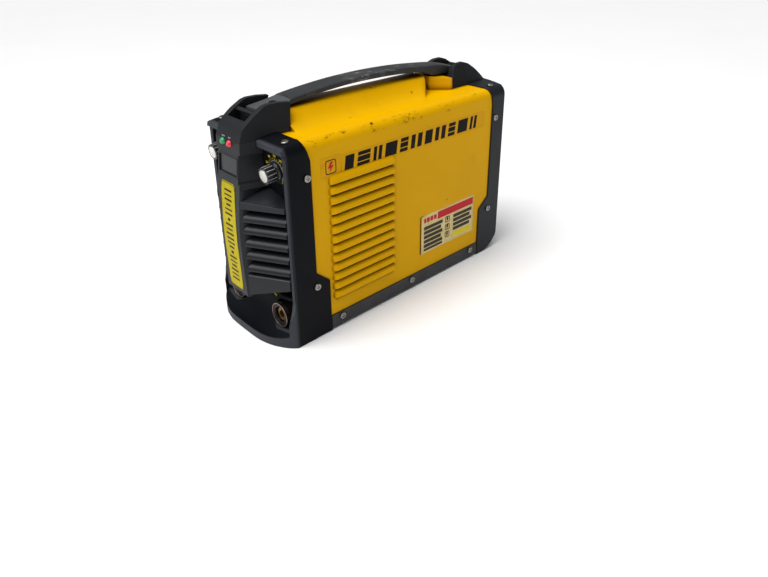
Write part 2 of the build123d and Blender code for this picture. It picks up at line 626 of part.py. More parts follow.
dial = up(dial_radius, 0.05, 0.6) - up(5.6, -1, 2)
knob_body = up(knob_skirt_radius, 1.2, 4.6)
knob_body = chamfer(knob_body.edges().group_by(Axis.Z)[-1], 1.2)
knob_body += up(knob_grip_radius + 0.7, 4.4, knob_length)
for index in range(12):
    groove = Pos(knob_grip_radius + 1.5, 0, (5.4 + knob_length) / 2 + 0.5) * Cylinder(1.25, knob_length - 4.4)
    knob_body -= Rot(0, 0, index * 30) * groove
knob_body -= up(7.2, knob_length - 1.0, knob_length + 1)
knob_body -= up(shaft_radius + 0.03, 0, 13.0)
knob_body -= up(8.2, 1.0, 2.6)
cap = up(7.1, knob_length - 0.9, knob_length + 0.5)
cap = chamfer(cap.edges().group_by(Axis.Z)[-1], 0.4)
shaft = up(shaft_radius, -8.0, 12.6)
pot_bush = up(3.7, -2.9, 2.2) + up(8.0, -11.0, -2.8)
pot_bush -= up(shaft_radius + shaft_clearance, -8.4, 3.0)
pot_nut = extrude(RegularPolygon(5.2, 6), amount=2.0)
pot_bush += Pos(0, 0, 0.15) * pot_nut - up(3.8, -1, 4)

# ---------------------------------------------------------------- output sockets
def socket_parts(x):
    """Shell, contact and nut of one output socket."""
    shell = rod_y(x, socket_z, socket_radius - 1.2, socket_front_y + 0.6, socket_panel_y - 0.1)
    shell += rod_y(x, socket_z, 12.8, socket_panel_y - 1.0, -158.0)
    shell -= rod_y(x, socket_z, 9.6, socket_front_y - 1, -181.0)
    shell -= rod_y(x, socket_z, 8.05, -190.0, -150.0)
    shell -= block(x - 2.4, x + 2.4, -192.0, -181.0, socket_z + 8, socket_z + 11.4)
    ring = rod_y(x, socket_z, socket_radius, socket_front_y, socket_front_y + 6.0)
    ring -= rod_y(x, socket_z, socket_radius - 1.15, socket_front_y - 1, -180.0)
    contact = rod_y(x, socket_z, 8.0, -186.5, -152.0) + rod_y(x, socket_z, 4.9, -153.0, -134.0)
    contact -= rod_y(x, socket_z, contact_bore_radius, -190.0, -160.0)
    nut_face = Plane.XZ.offset(148.0) * (Pos(x, socket_z) * RegularPolygon(8.5, 6))
    nut = extrude(nut_face, amount=6.0, dir=(0, 1, 0)) - rod_y(x, socket_z, 5.0, -150.0, -130.0)
    return shell, ring, contact, nut


positive = socket_parts(socket_x)
negative = socket_parts(-socket_x)

# ---------------------------------------------------------------- rear panel equipment
fan_low_z = fan_centre_z - fan_half_size
fan_high_z = fan_centre_z + fan_half_size
fan_frame = block(-fan_half_size, fan_half_size, fan_front_y, fan_front_y + fan_depth, fan_low_z, fan_high_z)
fan_frame -= rod_y(0, fan_centre_z, 57.5, fan_front_y - 1, fan_front_y + fan_depth + 1)
for dx in (-1, 1):
    for dz in (-1, 1):
        fan_frame -= rod_y(dx * fan_screw_offset, fan_centre_z + dz * fan_screw_offset, 2.2, 100, 175)
        notch = Pos(dx * 60, fan_front_y + 19, fan_centre_z + dz * 60) * Box(18, 28, 18)
        fan_frame -= notch
fan_frame += rod_y(0, fan_centre_z, 22.0, 155.5, 160.0)
for angle in (45, 135, 225, 315):
    arm = Pos(0, 158.5, fan_centre_z) * Rot(0, angle, 0) * (Pos(40.0, 0, 0) * Box(38.0, 3.0, 5.0))
    fan_frame += arm
fan_frame += rod_y(0, fan_centre_z, 5.0, 140.0, 156.0)
fan_frame -= rod_y(0, fan_centre_z, 1.55, 138.0, 158.0)
fan_rotor = rod_y(0, fan_centre_z, 21.0, 126.0, 153.5)
fan_rotor -= rod_y(0, fan_centre_z, 19.0, 129.0, 160.0)
fan_rotor += rod_y(0, fan_centre_z, 1.5, 128.0, 156.5)
fan_blade_count = 7
for index in range(fan_blade_count):
    sections = []
    for radius, twist, width in ((20.4, 42.0, 27.0), (38.0, 52.0, 30.0), (55.5, 60.0, 31.0)):
        across = (cos(radians(twist)), sin(radians(twist)), 0)
        plane = Plane(origin=(0, 0, radius), x_dir=across, z_dir=(0, 0, 1))
        sections.append(plane * Rectangle(1.6, width))
    blade = loft(sections)
    fan_rotor += Pos(0, 140.0, fan_centre_z) * Rot(0, index * 360 / fan_blade_count, 0) * blade

fan_grille = []
for radius in (14.0, 24.0, 34.0, 44.0, 54.0, 64.0):
    ring = rod_y(0, fan_centre_z, radius + 1.0, 171.2, 173.2) - rod_y(0, fan_centre_z, radius - 1.0, 170, 175)
    fan_grille.append(ring)
for angle in (45, 135, 225, 315):
    spoke_turn = Pos(0, 172.2, fan_centre_z) * Rot(0, angle, 0)
    fan_grille.append(spoke_turn * (Pos(43.8, 0, 0) * Box(61.0, 2.0, 2.4)))
    fan_grille.append(spoke_turn * (Pos(74.2, 0, 0) * Rot(90, 0, 0) * Cylinder(5.0, 2.0)))
fan_grille = joined(fan_grille)
for dx in (-1, 1):
    for dz in (-1, 1):
        fan_grille -= rod_y(dx * fan_screw_offset, fan_centre_z + dz * fan_screw_offset, 2.3, 160, 175)
fan_screws = []
for dx in (-1, 1):
    for dz in (-1, 1):
        place = Pos(dx * fan_screw_offset, 173.25, fan_centre_z + dz * fan_screw_offset) * Rot(-90, 0, 0)
        fan_screws.append(place * screw(4.0, 2.2, 2.0, 48.0))
fan_nuts = []
for dx in (-1, 1):
    for dz in (-1, 1):
        x = dx * fan_screw_offset
        z = fan_centre_z + dz * fan_screw_offset
        nut_outline = Plane.XZ.offset(-161.0) * (Pos(x, z) * RegularPolygon(4.0, 6))
        nut = extrude(nut_outline, amount=3.0, dir=(0, 1, 0))
        fan_nuts.append(nut - rod_y(x, z, 2.05, 150, 170))

switch_body = block(switch_x - 13.3, switch_x + 13.3, 146.0, 171.0, switch_z - 10.5, switch_z + 10.5)
switch_body += block(switch_x - 15.5, switch_x + 15.5, 170.8, 172.8, switch_z - 12.6, switch_z + 12.6)
switch_body -= block(switch_x - 11.3, switch_x + 11.3, 158.0, 180.0, switch_z - 8.6, switch_z + 8.6)
switch_body -= rod_x(166.5, switch_z, 1.55, switch_x - 12.6, switch_x + 12.6)
for dx in (-8.0, 0.0, 8.0):
    switch_body += Pos(switch_x + dx, 141.25, switch_z) * Box(0.8, 10.5, 6.4)
rocker_side = [
    (161.0, -5.0), (161.0, 5.0), (167.0, 7.9), (172.4, 6.9), (174.6, 6.4), (172.9, 2.5),
    (172.2, 0.0), (173.3, -3.5), (176.3, -8.0), (167.0, -8.2),
]
switch_rocker = prism_x([(y, switch_z + z) for y, z in rocker_side], switch_x - 10.9, switch_x + 10.9)
switch_rocker += rod_x(166.5, switch_z, 1.5, switch_x - 12.4, switch_x + 12.4)

gland_body = rod_y(gland_x, gland_z, 10.0, 158.0, 171.2)
hexagon = Plane.XZ.offset(-170.8) * (Pos(gland_x, gland_z) * RegularPolygon(15.0, 6))
gland_body += extrude(hexagon, amount=7.0, dir=(0, 1, 0))
gland_body += rod_y(gland_x, gland_z, 10.0, 177.0, 188.0)
gland_body -= rod_y(gland_x, gland_z, 6.4, 150.0, 200.0)
gland_dome = rod_y(gland_x, gland_z, 13.4, 181.0, 199.0)
gland_dome = chamfer(gland_dome.edges().sort_by(Axis.Y)[-1], 3.5)
gland_dome += rod_y(gland_x, gland_z, 9.2, 198.0, 216.45)
gland_dome -= rod_y(gland_x, gland_z, 10.1, 170.0, 188.6)
gland_dome -= rod_y(gland_x, gland_z, 6.6, 170.0, 230.0)
gland_lock = Plane.XZ.offset(-160.0) * (Pos(gland_x, gland_z) * RegularPolygon(14.0, 6))
gland_nut = extrude(gland_lock, amount=5.0, dir=(0, 1, 0)) - rod_y(gland_x, gland_z, 10.05, 150, 180)

earth_bolt = rod_y(earth_x, earth_z, 3.0, 160.0, 184.0)
earth_head = Plane.XZ.offset(-161.5) * (Pos(earth_x, earth_z) * RegularPolygon(6.2, 6))
earth_bolt += extrude(earth_head, amount=4.0, dir=(0, 1, 0))
earth_washer = rod_y(earth_x, earth_z, 7.0, 170.7, 172.2) - rod_y(earth_x, earth_z, 3.1, 160, 180)
earth_nut_face = Plane.XZ.offset(-172.3) * (Pos(earth_x, earth_z) * RegularPolygon(6.0, 6))
earth_nut = extrude(earth_nut_face, amount=5.0, dir=(0, 1, 0)) - rod_y(earth_x, earth_z, 3.05, 160, 190)
rating_plate = block(-58.0, 8.0, 170.6, 171.0, 26.0, 52.0)

# ---------------------------------------------------------------- stickers on the cover
side_sticker = block(cover_half_width + 0.05, cover_half_width + 0.35, 17.0, 125.5, 44.0, 100.0)
side_badge = block(cover_half_width + 0.05, cover_half_width + 0.35, -134.5, -119.5, 201.5, 218.0)
badge_left = block(-cover_half_width - 0.35, -cover_half_width - 0.05, -134.5, -119.5, 201.5, 218.0)
side_badges = side_badge + badge_left

# ---------------------------------------------------------------- electronics inside
board_z = 140.0
power_board = block(-66, 66, -120, 80, board_z, board_z + 1.6)
heatsinks = []
for side in (-1, 1):
    sink = block(min(side * 34, side * 40), max(side * 34, side * 40), -105, 75, 24, 120)
    for index in range(9):
        z = 28 + index * 11
        sink += block(min(side * 39, side * 66), max(side * 39, side * 66), -105, 75, z, z + 2.2)
    heatsinks.append(sink)
heatsink_right = heatsinks[1]
heatsink_left = heatsinks[0]
standoffs = []
for x in (-37.0, 37.0):
    for y in (-98.0, 68.0):
        standoffs.append(rod_z(x, y, 2.8, 120.1, board_z - 0.1))
feet_posts = []
for x in (-37.0, 37.0):
    for y in (-98.0, -15.0, 68.0):
        feet_posts.append(rod_z(x, y, 3.4, pan_floor_z + sheet + 0.05, 23.9))
transistors = []
for side in (-1, 1):
    for y in (-88.0, -64.0, -40.0, -16.0):
        transistors.append(Pos(side * 31.3, y, 102.5) * Box(5, 16, 21))
diodes = []
for side in (-1, 1):
    for y in (12.0, 34.0, 56.0):
        diodes.append(Pos(side * 31.3, y, 102.5) * Box(5, 16, 21))
capacitors = []
for x, y in ((-40.0, 45.0), (0.0, 45.0), (40.0, 45.0)):
    capacitors.append(rod_z(x, y, 17.0, board_z + 1.8, board_z + 46.0))
bridge = block(-58, -30, -10, 18, board_z + 1.8, board_z + 12)
relay = block(30, 58, -8, 16, board_z + 1.8, board_z + 22)
core = block(-26, 26, -60, 0, board_z + 2.0, board_z + 48.0)
core -= block(-17, 17, -70, 10, board_z + 12.0, board_z + 38.0)
core += block(-17.5, 17.5, -60, 0, board_z + 21.0, board_z + 29.0)
winding = block(-16, 16, -68, 8, board_z + 13.5, board_z + 36.5)
winding -= block(-30, 30, -60.6, 0.6, board_z + 20.4, board_z + 29.6)
choke = Pos(0, -95, 62) * Rot(90, 0, 0) * Torus(20.0, 10.0)
control_board = block(-28, 28, -112.8, -111.2, board_z + 1.7, 228.0)
bus_bars = []
for side in (-1, 1):
    x = side * socket_x
    bar = block(x - 7, x + 7, -141.8, -139.8, 26.0, 92.0)
    bar -= rod_y(x, socket_z, 5.2, -150, -130)
    bar += block(x - 7, x + 7, -139.9, -108.0, 90.0, 92.0)
    bus_bars.append(bar)

nodes = {
    "front_bezel": front_bezel,
    "front_spine": front_spine,
    "grille_right": grille_right,
    "grille_left": grille_left,
    "display_window": display_window,
    "display_module": display_module,
    "display_board": display_board,
    "led_green": led_green,
    "led_red": led_red,
    "spine_label": spine_label,
    "cover": cover,
    "base_pan": base_pan,
    "rear_bezel": rear_bezel,
    "rear_bracket": rear_bracket,
    "handle_bar": handle_bar,
    "handle_spacers": handle_spacers,
    "handle_screws": joined(handle_screws),
    "side_screws": joined(side_screws),
    "base_screws": joined(base_screws),
    "top_screws": joined(top_screws),
    "socket_shells": positive[0] + negative[0],
    "socket_rings": positive[1] + negative[1],
    "socket_contacts": positive[2] + negative[2],
    "socket_nuts": positive[3] + negative[3],
    "fan_frame": fan_frame,
    "fan_rotor": fan_rotor,
    "fan_grille": fan_grille,
    "fan_screws": joined(fan_screws),
    "fan_nuts": joined(fan_nuts),
    "switch_body": switch_body,
    "switch_rocker": switch_rocker,
    "gland_body": gland_body,
    "gland_dome": gland_dome,
    "gland_nut": gland_nut,
    "earth_bolt": earth_bolt,
    "earth_hardware": earth_washer + earth_nut,
    "rating_plate": rating_plate,
    "side_sticker": side_sticker,
    "side_badges": side_badges,
    "heatsink_right": heatsink_right,
    "heatsink_left": heatsink_left,
    "board_standoffs": joined(standoffs + feet_posts),
    "transistors": joined(transistors + diodes),
    "power_board": power_board,
    "capacitors": joined(capacitors),
    "rectifier_and_relay": bridge + relay,
    "transformer_core": core,
    "transformer_winding": winding,
    "output_choke": choke,
    "control_board": control_board,
    "knob_dials": on_panel(knob_x, dial) + on_panel(-knob_x, dial),
    "potentiometers": on_panel(knob_x, pot_bush) + on_panel(-knob_x, pot_bush),
    "bus_bars": joined(bus_bars),
}
for side, suffix in ((1, "right"), (-1, "left")):
    nodes["knob_" + suffix] = on_panel(side * knob_x, knob_body)
    nodes["knob_cap_" + suffix] = on_panel(side * knob_x, cap)
    nodes["knob_shaft_" + suffix] = on_panel(side * knob_x, shaft)

for name, shape in nodes.items():
    save(name, shape)
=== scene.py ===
"""Looks of a portable stick welding inverter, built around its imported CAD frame. Units are metres."""
import json
import math

import bmesh
import bpy
from mathutils import Matrix, Vector
from mathutils.bvhtree import BVHTree


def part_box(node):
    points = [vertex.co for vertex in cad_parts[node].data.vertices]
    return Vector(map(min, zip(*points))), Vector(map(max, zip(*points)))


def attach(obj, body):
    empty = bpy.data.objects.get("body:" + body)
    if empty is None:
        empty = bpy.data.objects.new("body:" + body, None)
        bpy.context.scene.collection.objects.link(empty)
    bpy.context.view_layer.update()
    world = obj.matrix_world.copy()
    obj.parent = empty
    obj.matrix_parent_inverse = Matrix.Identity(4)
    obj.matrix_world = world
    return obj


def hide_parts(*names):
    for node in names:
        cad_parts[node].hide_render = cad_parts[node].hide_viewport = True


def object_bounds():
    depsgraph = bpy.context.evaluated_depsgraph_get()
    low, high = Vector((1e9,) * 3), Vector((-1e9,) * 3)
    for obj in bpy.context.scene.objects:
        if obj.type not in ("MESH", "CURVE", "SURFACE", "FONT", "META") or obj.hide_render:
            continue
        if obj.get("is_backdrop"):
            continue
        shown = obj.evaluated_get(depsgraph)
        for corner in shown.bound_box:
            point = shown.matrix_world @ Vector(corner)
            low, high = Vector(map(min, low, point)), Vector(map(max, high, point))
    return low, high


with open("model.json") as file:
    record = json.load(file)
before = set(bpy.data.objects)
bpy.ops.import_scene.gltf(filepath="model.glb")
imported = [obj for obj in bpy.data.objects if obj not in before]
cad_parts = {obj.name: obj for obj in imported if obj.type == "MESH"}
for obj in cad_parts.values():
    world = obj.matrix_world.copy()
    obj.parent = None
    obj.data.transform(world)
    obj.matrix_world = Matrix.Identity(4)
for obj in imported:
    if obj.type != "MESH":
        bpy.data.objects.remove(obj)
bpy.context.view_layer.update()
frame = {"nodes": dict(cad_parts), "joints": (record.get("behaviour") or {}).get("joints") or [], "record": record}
NODES = frame["nodes"]
MM = 0.001
CASE = "case"
# Cylindrical hollow that the output sockets sit in, in the Y-Z plane, millimetres.
SCOOP_RADIUS = 31.0
SCOOP_Y = -212.0
SCOOP_Z = 42.0
# Inner edge and front face of the front rim, millimetres.
RIM_INNER = 69.3
RIM_FRONT = -187.5
# Height band and outer width where the cover's upper fold is chipped, metres.
FOLD_LOW, FOLD_HIGH, FOLD_TOP = 0.2325, 0.2375, 0.2465
FOLD_INNER, FOLD_OUTER = 0.0655, 0.0695
WORN_GREY = (172, 172, 168)
NICK_GREY = (170, 170, 172)
# Soft edges: sharpest angle left alone and number of bevel steps.
EDGE_ANGLE = math.radians(28.0)
EDGE_STEPS = 2
JOINTS = {joint["name"]: joint for joint in frame["joints"]}
MOUNTS = {mount["name"]: mount for mount in frame["record"]["mounts"]}


def box_mm(node):
    """Low and high corner of a CAD node in millimetres."""
    low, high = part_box(node)
    return Vector(low) / MM, Vector(high) / MM


# ------------------------------------------------------------------ node helpers
class Graph:
    """Small wrapper that builds one node material."""

    def __init__(self, name):
        self.mat = bpy.data.materials.new(name)
        self.mat.use_nodes = True
        self.tree = self.mat.node_tree
        self.tree.nodes.clear()
        self.out = self.add("ShaderNodeOutputMaterial")
        self.bsdf = self.add("ShaderNodeBsdfPrincipled")
        self.link(self.bsdf, "BSDF", self.out, "Surface")
        self.coord = self.add("ShaderNodeTexCoord")

    def add(self, kind, **values):
        node = self.tree.nodes.new(kind)
        for key, value in values.items():
            setattr(node, key, value)
        return node

    def link(self, a, a_socket, b, b_socket):
        self.tree.links.new(a.outputs[a_socket], b.inputs[b_socket])

    def put(self, node, key, value):
        """Feed a socket with a (node, output) pair or a constant."""
        if isinstance(value, tuple) and len(value) == 2 and hasattr(value[0], "outputs"):
            self.tree.links.new(value[0].outputs[value[1]], node.inputs[key])
        else:
            node.inputs[key].default_value = value

    def noise(self, scale, detail=4.0, rough=0.55, vector=None):
        node = self.add("ShaderNodeTexNoise")
        node.inputs["Scale"].default_value = scale
        node.inputs["Detail"].default_value = detail
        node.inputs["Roughness"].default_value = rough
        self.put(node, "Vector", vector or (self.coord, "Object"))
        return (node, "Fac")

    def voronoi(self, scale):
        node = self.add("ShaderNodeTexVoronoi", feature="F1")
        node.inputs["Scale"].default_value = scale
        self.put(node, "Vector", (self.coord, "Object"))
        return (node, "Distance")

    def ramp(self, value, low, high, a=0.0, b=1.0):
        node = self.add("ShaderNodeMapRange", clamp=True)
        self.put(node, "Value", value)
        node.inputs["From Min"].default_value = low
        node.inputs["From Max"].default_value = high
        node.inputs["To Min"].default_value = a
        node.inputs["To Max"].default_value = b
        return (node, "Result")

    def math(self, op, a, b=0.0):
        node = self.add("ShaderNodeMath", operation=op)
        self.put(node, 0, a)
        self.put(node, 1, b)
        return (node, "Value")

    def mix(self, fac, a, b):
        node = self.add("ShaderNodeMix", data_type="RGBA")
        self.put(node, "Factor", fac)
        self.put(node, 6, a)
        self.put(node, 7, b)
        return (node, 2)

    def axis(self, index):
        node = self.add("ShaderNodeSeparateXYZ")
        self.put(node, "Vector", (self.coord, "Object"))
        return (node, "XYZ"[index])

    def stretched(self, sx, sy, sz):
        node = self.add("ShaderNodeMapping")
        self.put(node, "Vector", (self.coord, "Object"))
        node.inputs["Scale"].default_value = (sx, sy, sz)
        return (node, "Vector")

    def bump(self, height, strength, distance, normal=None):
        node = self.add("ShaderNodeBump")
        self.put(node, "Height", height)
        node.inputs["Strength"].default_value = strength
        node.inputs["Distance"].default_value = distance
        if normal:
            self.put(node, "Normal", normal)
        self.put(self.bsdf, "Normal", (node, "Normal"))
        return (node, "Normal")


def rgb(r, g, b):
    """sRGB 0-255 to linear RGBA."""
    def lin(c):
        c /= 255.0
        return c / 12.92 if c <= 0.04045 else ((c + 0.055) / 1.055) ** 2.4
    return (lin(r), lin(g), lin(b), 1.0)


def moulded(name, dark, light, rough=0.48, grain=900.0, strength=0.25, scuff=0.25, spec=0.5,
            front=False, worn_at=()):
    """Injection-moulded plastic: fine texture, cloudy tone, rubbed patches, pale nicks on the edges; front adds
    painted front light to the bezel's forward faces.
    """
    g = Graph(name)
    cloud = g.noise(9.0, 3.0)
    rub = g.ramp(g.noise(38.0, 6.0, 0.7), 0.56, 0.78)
    tone = g.mix(g.ramp(cloud, 0.3, 0.7), dark, light)
    if front:
        out_y = g.math("SUBTRACT", g.axis(1), SCOOP_Y * MM)
        out_z = g.math("SUBTRACT", g.axis(2), SCOOP_Z * MM)
        squares = g.math("ADD", g.math("MULTIPLY", out_y, out_y), g.math("MULTIPLY", out_z, out_z))
        past_hollow = g.ramp(
            g.math("SQRT", squares), (SCOOP_RADIUS + 0.2) * MM, (SCOOP_RADIUS + 1.2) * MM)
        on_rim = g.ramp(g.math("ABSOLUTE", g.axis(0)), RIM_INNER * MM, (RIM_INNER + 0.5) * MM)
        outside = g.math("MAXIMUM", past_hollow, on_rim)
        # painted light: forward parts of the bezel outside the socket hollow get a lighter grey, as if lit from
        # the front
        near = g.math("MULTIPLY", g.ramp(g.axis(1), (RIM_FRONT + 4.0) * MM, RIM_FRONT * MM), outside)
        tone = g.mix(near, tone, rgb(56, 58, 63))
    pale = (min(light[0] * 2.6, 1.0), min(light[1] * 2.6, 1.0), min(light[2] * 2.6, 1.0), 1.0)
    scuffed = g.mix(g.math("MULTIPLY", rub, scuff), tone, pale)
    for centre, reach in worn_at:
        away = g.math("ABSOLUTE", g.math("SUBTRACT", g.axis(1), centre))
        streak = g.ramp(g.noise(85.0, 8.0, 0.8, g.stretched(1.0, 0.45, 1.0)), 0.53, 0.68)
        patch = g.math("MULTIPLY", g.ramp(away, reach, reach * 0.4), streak)
        scuffed = g.mix(g.math("MULTIPLY", patch, 0.6), scuffed, rgb(*WORN_GREY))
    nick = g.ramp(g.voronoi(34.0), 0.05, 0.03)
    nick = g.math("MULTIPLY", nick, g.ramp(g.noise(75.0, 3.0), 0.56, 0.6))
    g.put(g.bsdf, "Base Color", g.mix(g.math("MULTIPLY", nick, 0.75), scuffed, rgb(*NICK_GREY)))
    g.put(g.bsdf, "Roughness", g.ramp(rub, 0.0, 1.0, rough - 0.04, rough + 0.14))
    g.put(g.bsdf, "Specular IOR Level", spec)
    fine = g.noise(grain, 2.0, 0.5)
    g.bump(fine, strength, 0.00012)
    return g.mat


def metal(name, colour, rough=0.3, streak=(1.0, 1.0, 40.0), tint=0.15, strength=0.15):
    """Plated or turned metal with fine streaks, slight staining and painted shade in recesses."""
    g = Graph(name)
    lines = g.noise(160.0, 3.0, 0.6, g.stretched(*streak))
    stain = g.ramp(g.noise(70.0, 5.0, 0.65), 0.45, 0.75)
    darker = (colour[0] * 0.55, colour[1] * 0.52, colour[2] * 0.48, 1.0)
    worn = g.mix(g.math("MULTIPLY", stain, tint * 4.0), colour, darker)
    # painted shade: recesses darken towards near black
    recess = g.add("ShaderNodeAmbientOcclusion", samples=8)
    recess.inputs["Distance"].default_value = 0.003
    recess_shade_colour = (0.02, 0.018, 0.015, 1.0)
    g.put(g.bsdf, "Base Color", g.mix(g.ramp((recess, "AO"), 0.62, 0.95), recess_shade_colour, worn))
    g.bsdf.inputs["Metallic"].default_value = 1.0
    g.put(g.bsdf, "Roughness", g.ramp(lines, 0.3, 0.7, rough * 0.75, rough * 1.3))
    g.bump(lines, strength, 0.00004)
    return g.mat


def paint(name):
    """Yellow powder coat: light orange peel, faint dirt, painted shade in the creases, small chips to dark primer
    at the folded edge.
    """
    g = Graph(name)
    x = g.axis(0)
    z = g.axis(2)
    base = g.mix(g.ramp(g.noise(6.0, 3.0), 0.3, 0.7), rgb(220, 166, 0), rgb(210, 157, 0))
    # painted shade: creases and the spaces under the louvre lips darken to brown
    crease_shade = g.add("ShaderNodeAmbientOcclusion", samples=8)
    crease_shade.inputs["Distance"].default_value = 0.011
    base = g.mix(g.ramp((crease_shade, "AO"), 0.4, 0.88), rgb(96, 54, 0), base)
    dirt = g.ramp(g.noise(22.0, 8.0, 0.72), 0.58, 0.85)
    soiled = g.mix(g.math("MULTIPLY", dirt, 0.35), base, rgb(176, 124, 24))
    edge_z = g.ramp(z, FOLD_LOW, FOLD_HIGH)
    edge_x = g.ramp(g.math("ABSOLUTE", x), FOLD_INNER, FOLD_OUTER)
    edge = g.math("MULTIPLY", edge_z, edge_x)
    below = g.ramp(z, FOLD_TOP, FOLD_TOP + 0.001, 1.0, 0.0)
    edge = g.math("MULTIPLY", edge, below)
    speck = g.ramp(g.noise(240.0, 6.0, 0.75, g.stretched(1.0, 0.5, 1.0)), 0.56, 0.585)
    area = g.ramp(g.noise(24.0, 3.0), 0.48, 0.56)
    chip = g.math("MULTIPLY", g.math("MULTIPLY", speck, edge), area)
    stray = g.ramp(g.voronoi(30.0), 0.075, 0.05)
    stray = g.math("MULTIPLY", stray, g.ramp(g.noise(60.0, 2.0), 0.52, 0.56))
    chips = g.math("MAXIMUM", chip, stray)
    g.put(g.bsdf, "Base Color", g.mix(chips, soiled, rgb(70, 44, 12)))
    g.put(g.bsdf, "Roughness", g.ramp(g.math("MAXIMUM", dirt, chips), 0.0, 1.0, 0.3, 0.6))
    g.bsdf.inputs["Specular IOR Level"].default_value = 0.03
    g.bsdf.inputs["Coat Weight"].default_value = 0.05
    g.bsdf.inputs["Coat Roughness"].default_value = 0.08
    peel = g.noise(420.0, 2.0, 0.4)
    first = g.bump(peel, 0.12, 0.00008)
    g.bump(g.math("SUBTRACT", 1.0, chips), 0.5, 0.00015, first)
    return g.mat


def plain(name, dark, light, rough=0.5, scale=60.0, metallic=0.0, strength=0.15, fine=700.0,
          spec=0.25):
    """Two-tone surface with fine bump for hidden and small parts."""
    g = Graph(name)
    g.put(g.bsdf, "Base Color", g.mix(g.ramp(g.noise(scale, 5.0, 0.6), 0.35, 0.65), dark, light))
    g.bsdf.inputs["Metallic"].default_value = metallic
    g.bsdf.inputs["Specular IOR Level"].default_value = spec
    gloss = g.noise(scale * 2.3, 3.0)
    g.put(g.bsdf, "Roughness", g.ramp(gloss, 0.3, 0.7, rough * 0.85, rough * 1.2))
    g.bump(g.noise(fine, 2.0), strength, 0.00006)
    return g.mat


def lens(name, colour, glow):
    """Tinted lamp lens."""
    g = Graph(name)
    g.put(g.bsdf, "Base Color", g.mix(g.ramp(g.noise(300.0, 2.0), 0.3, 0.7), colour, glow))
    g.bsdf.inputs["Roughness"].default_value = 0.3
    g.bsdf.inputs["Coat Weight"].default_value = 0.15
    g.bsdf.inputs["Subsurface Weight"].default_value = 0.2
    g.bsdf.inputs["Subsurface Scale"].default_value = 0.002
    g.bump(g.noise(500.0, 1.0), 0.05, 0.00004)
    return g.mat


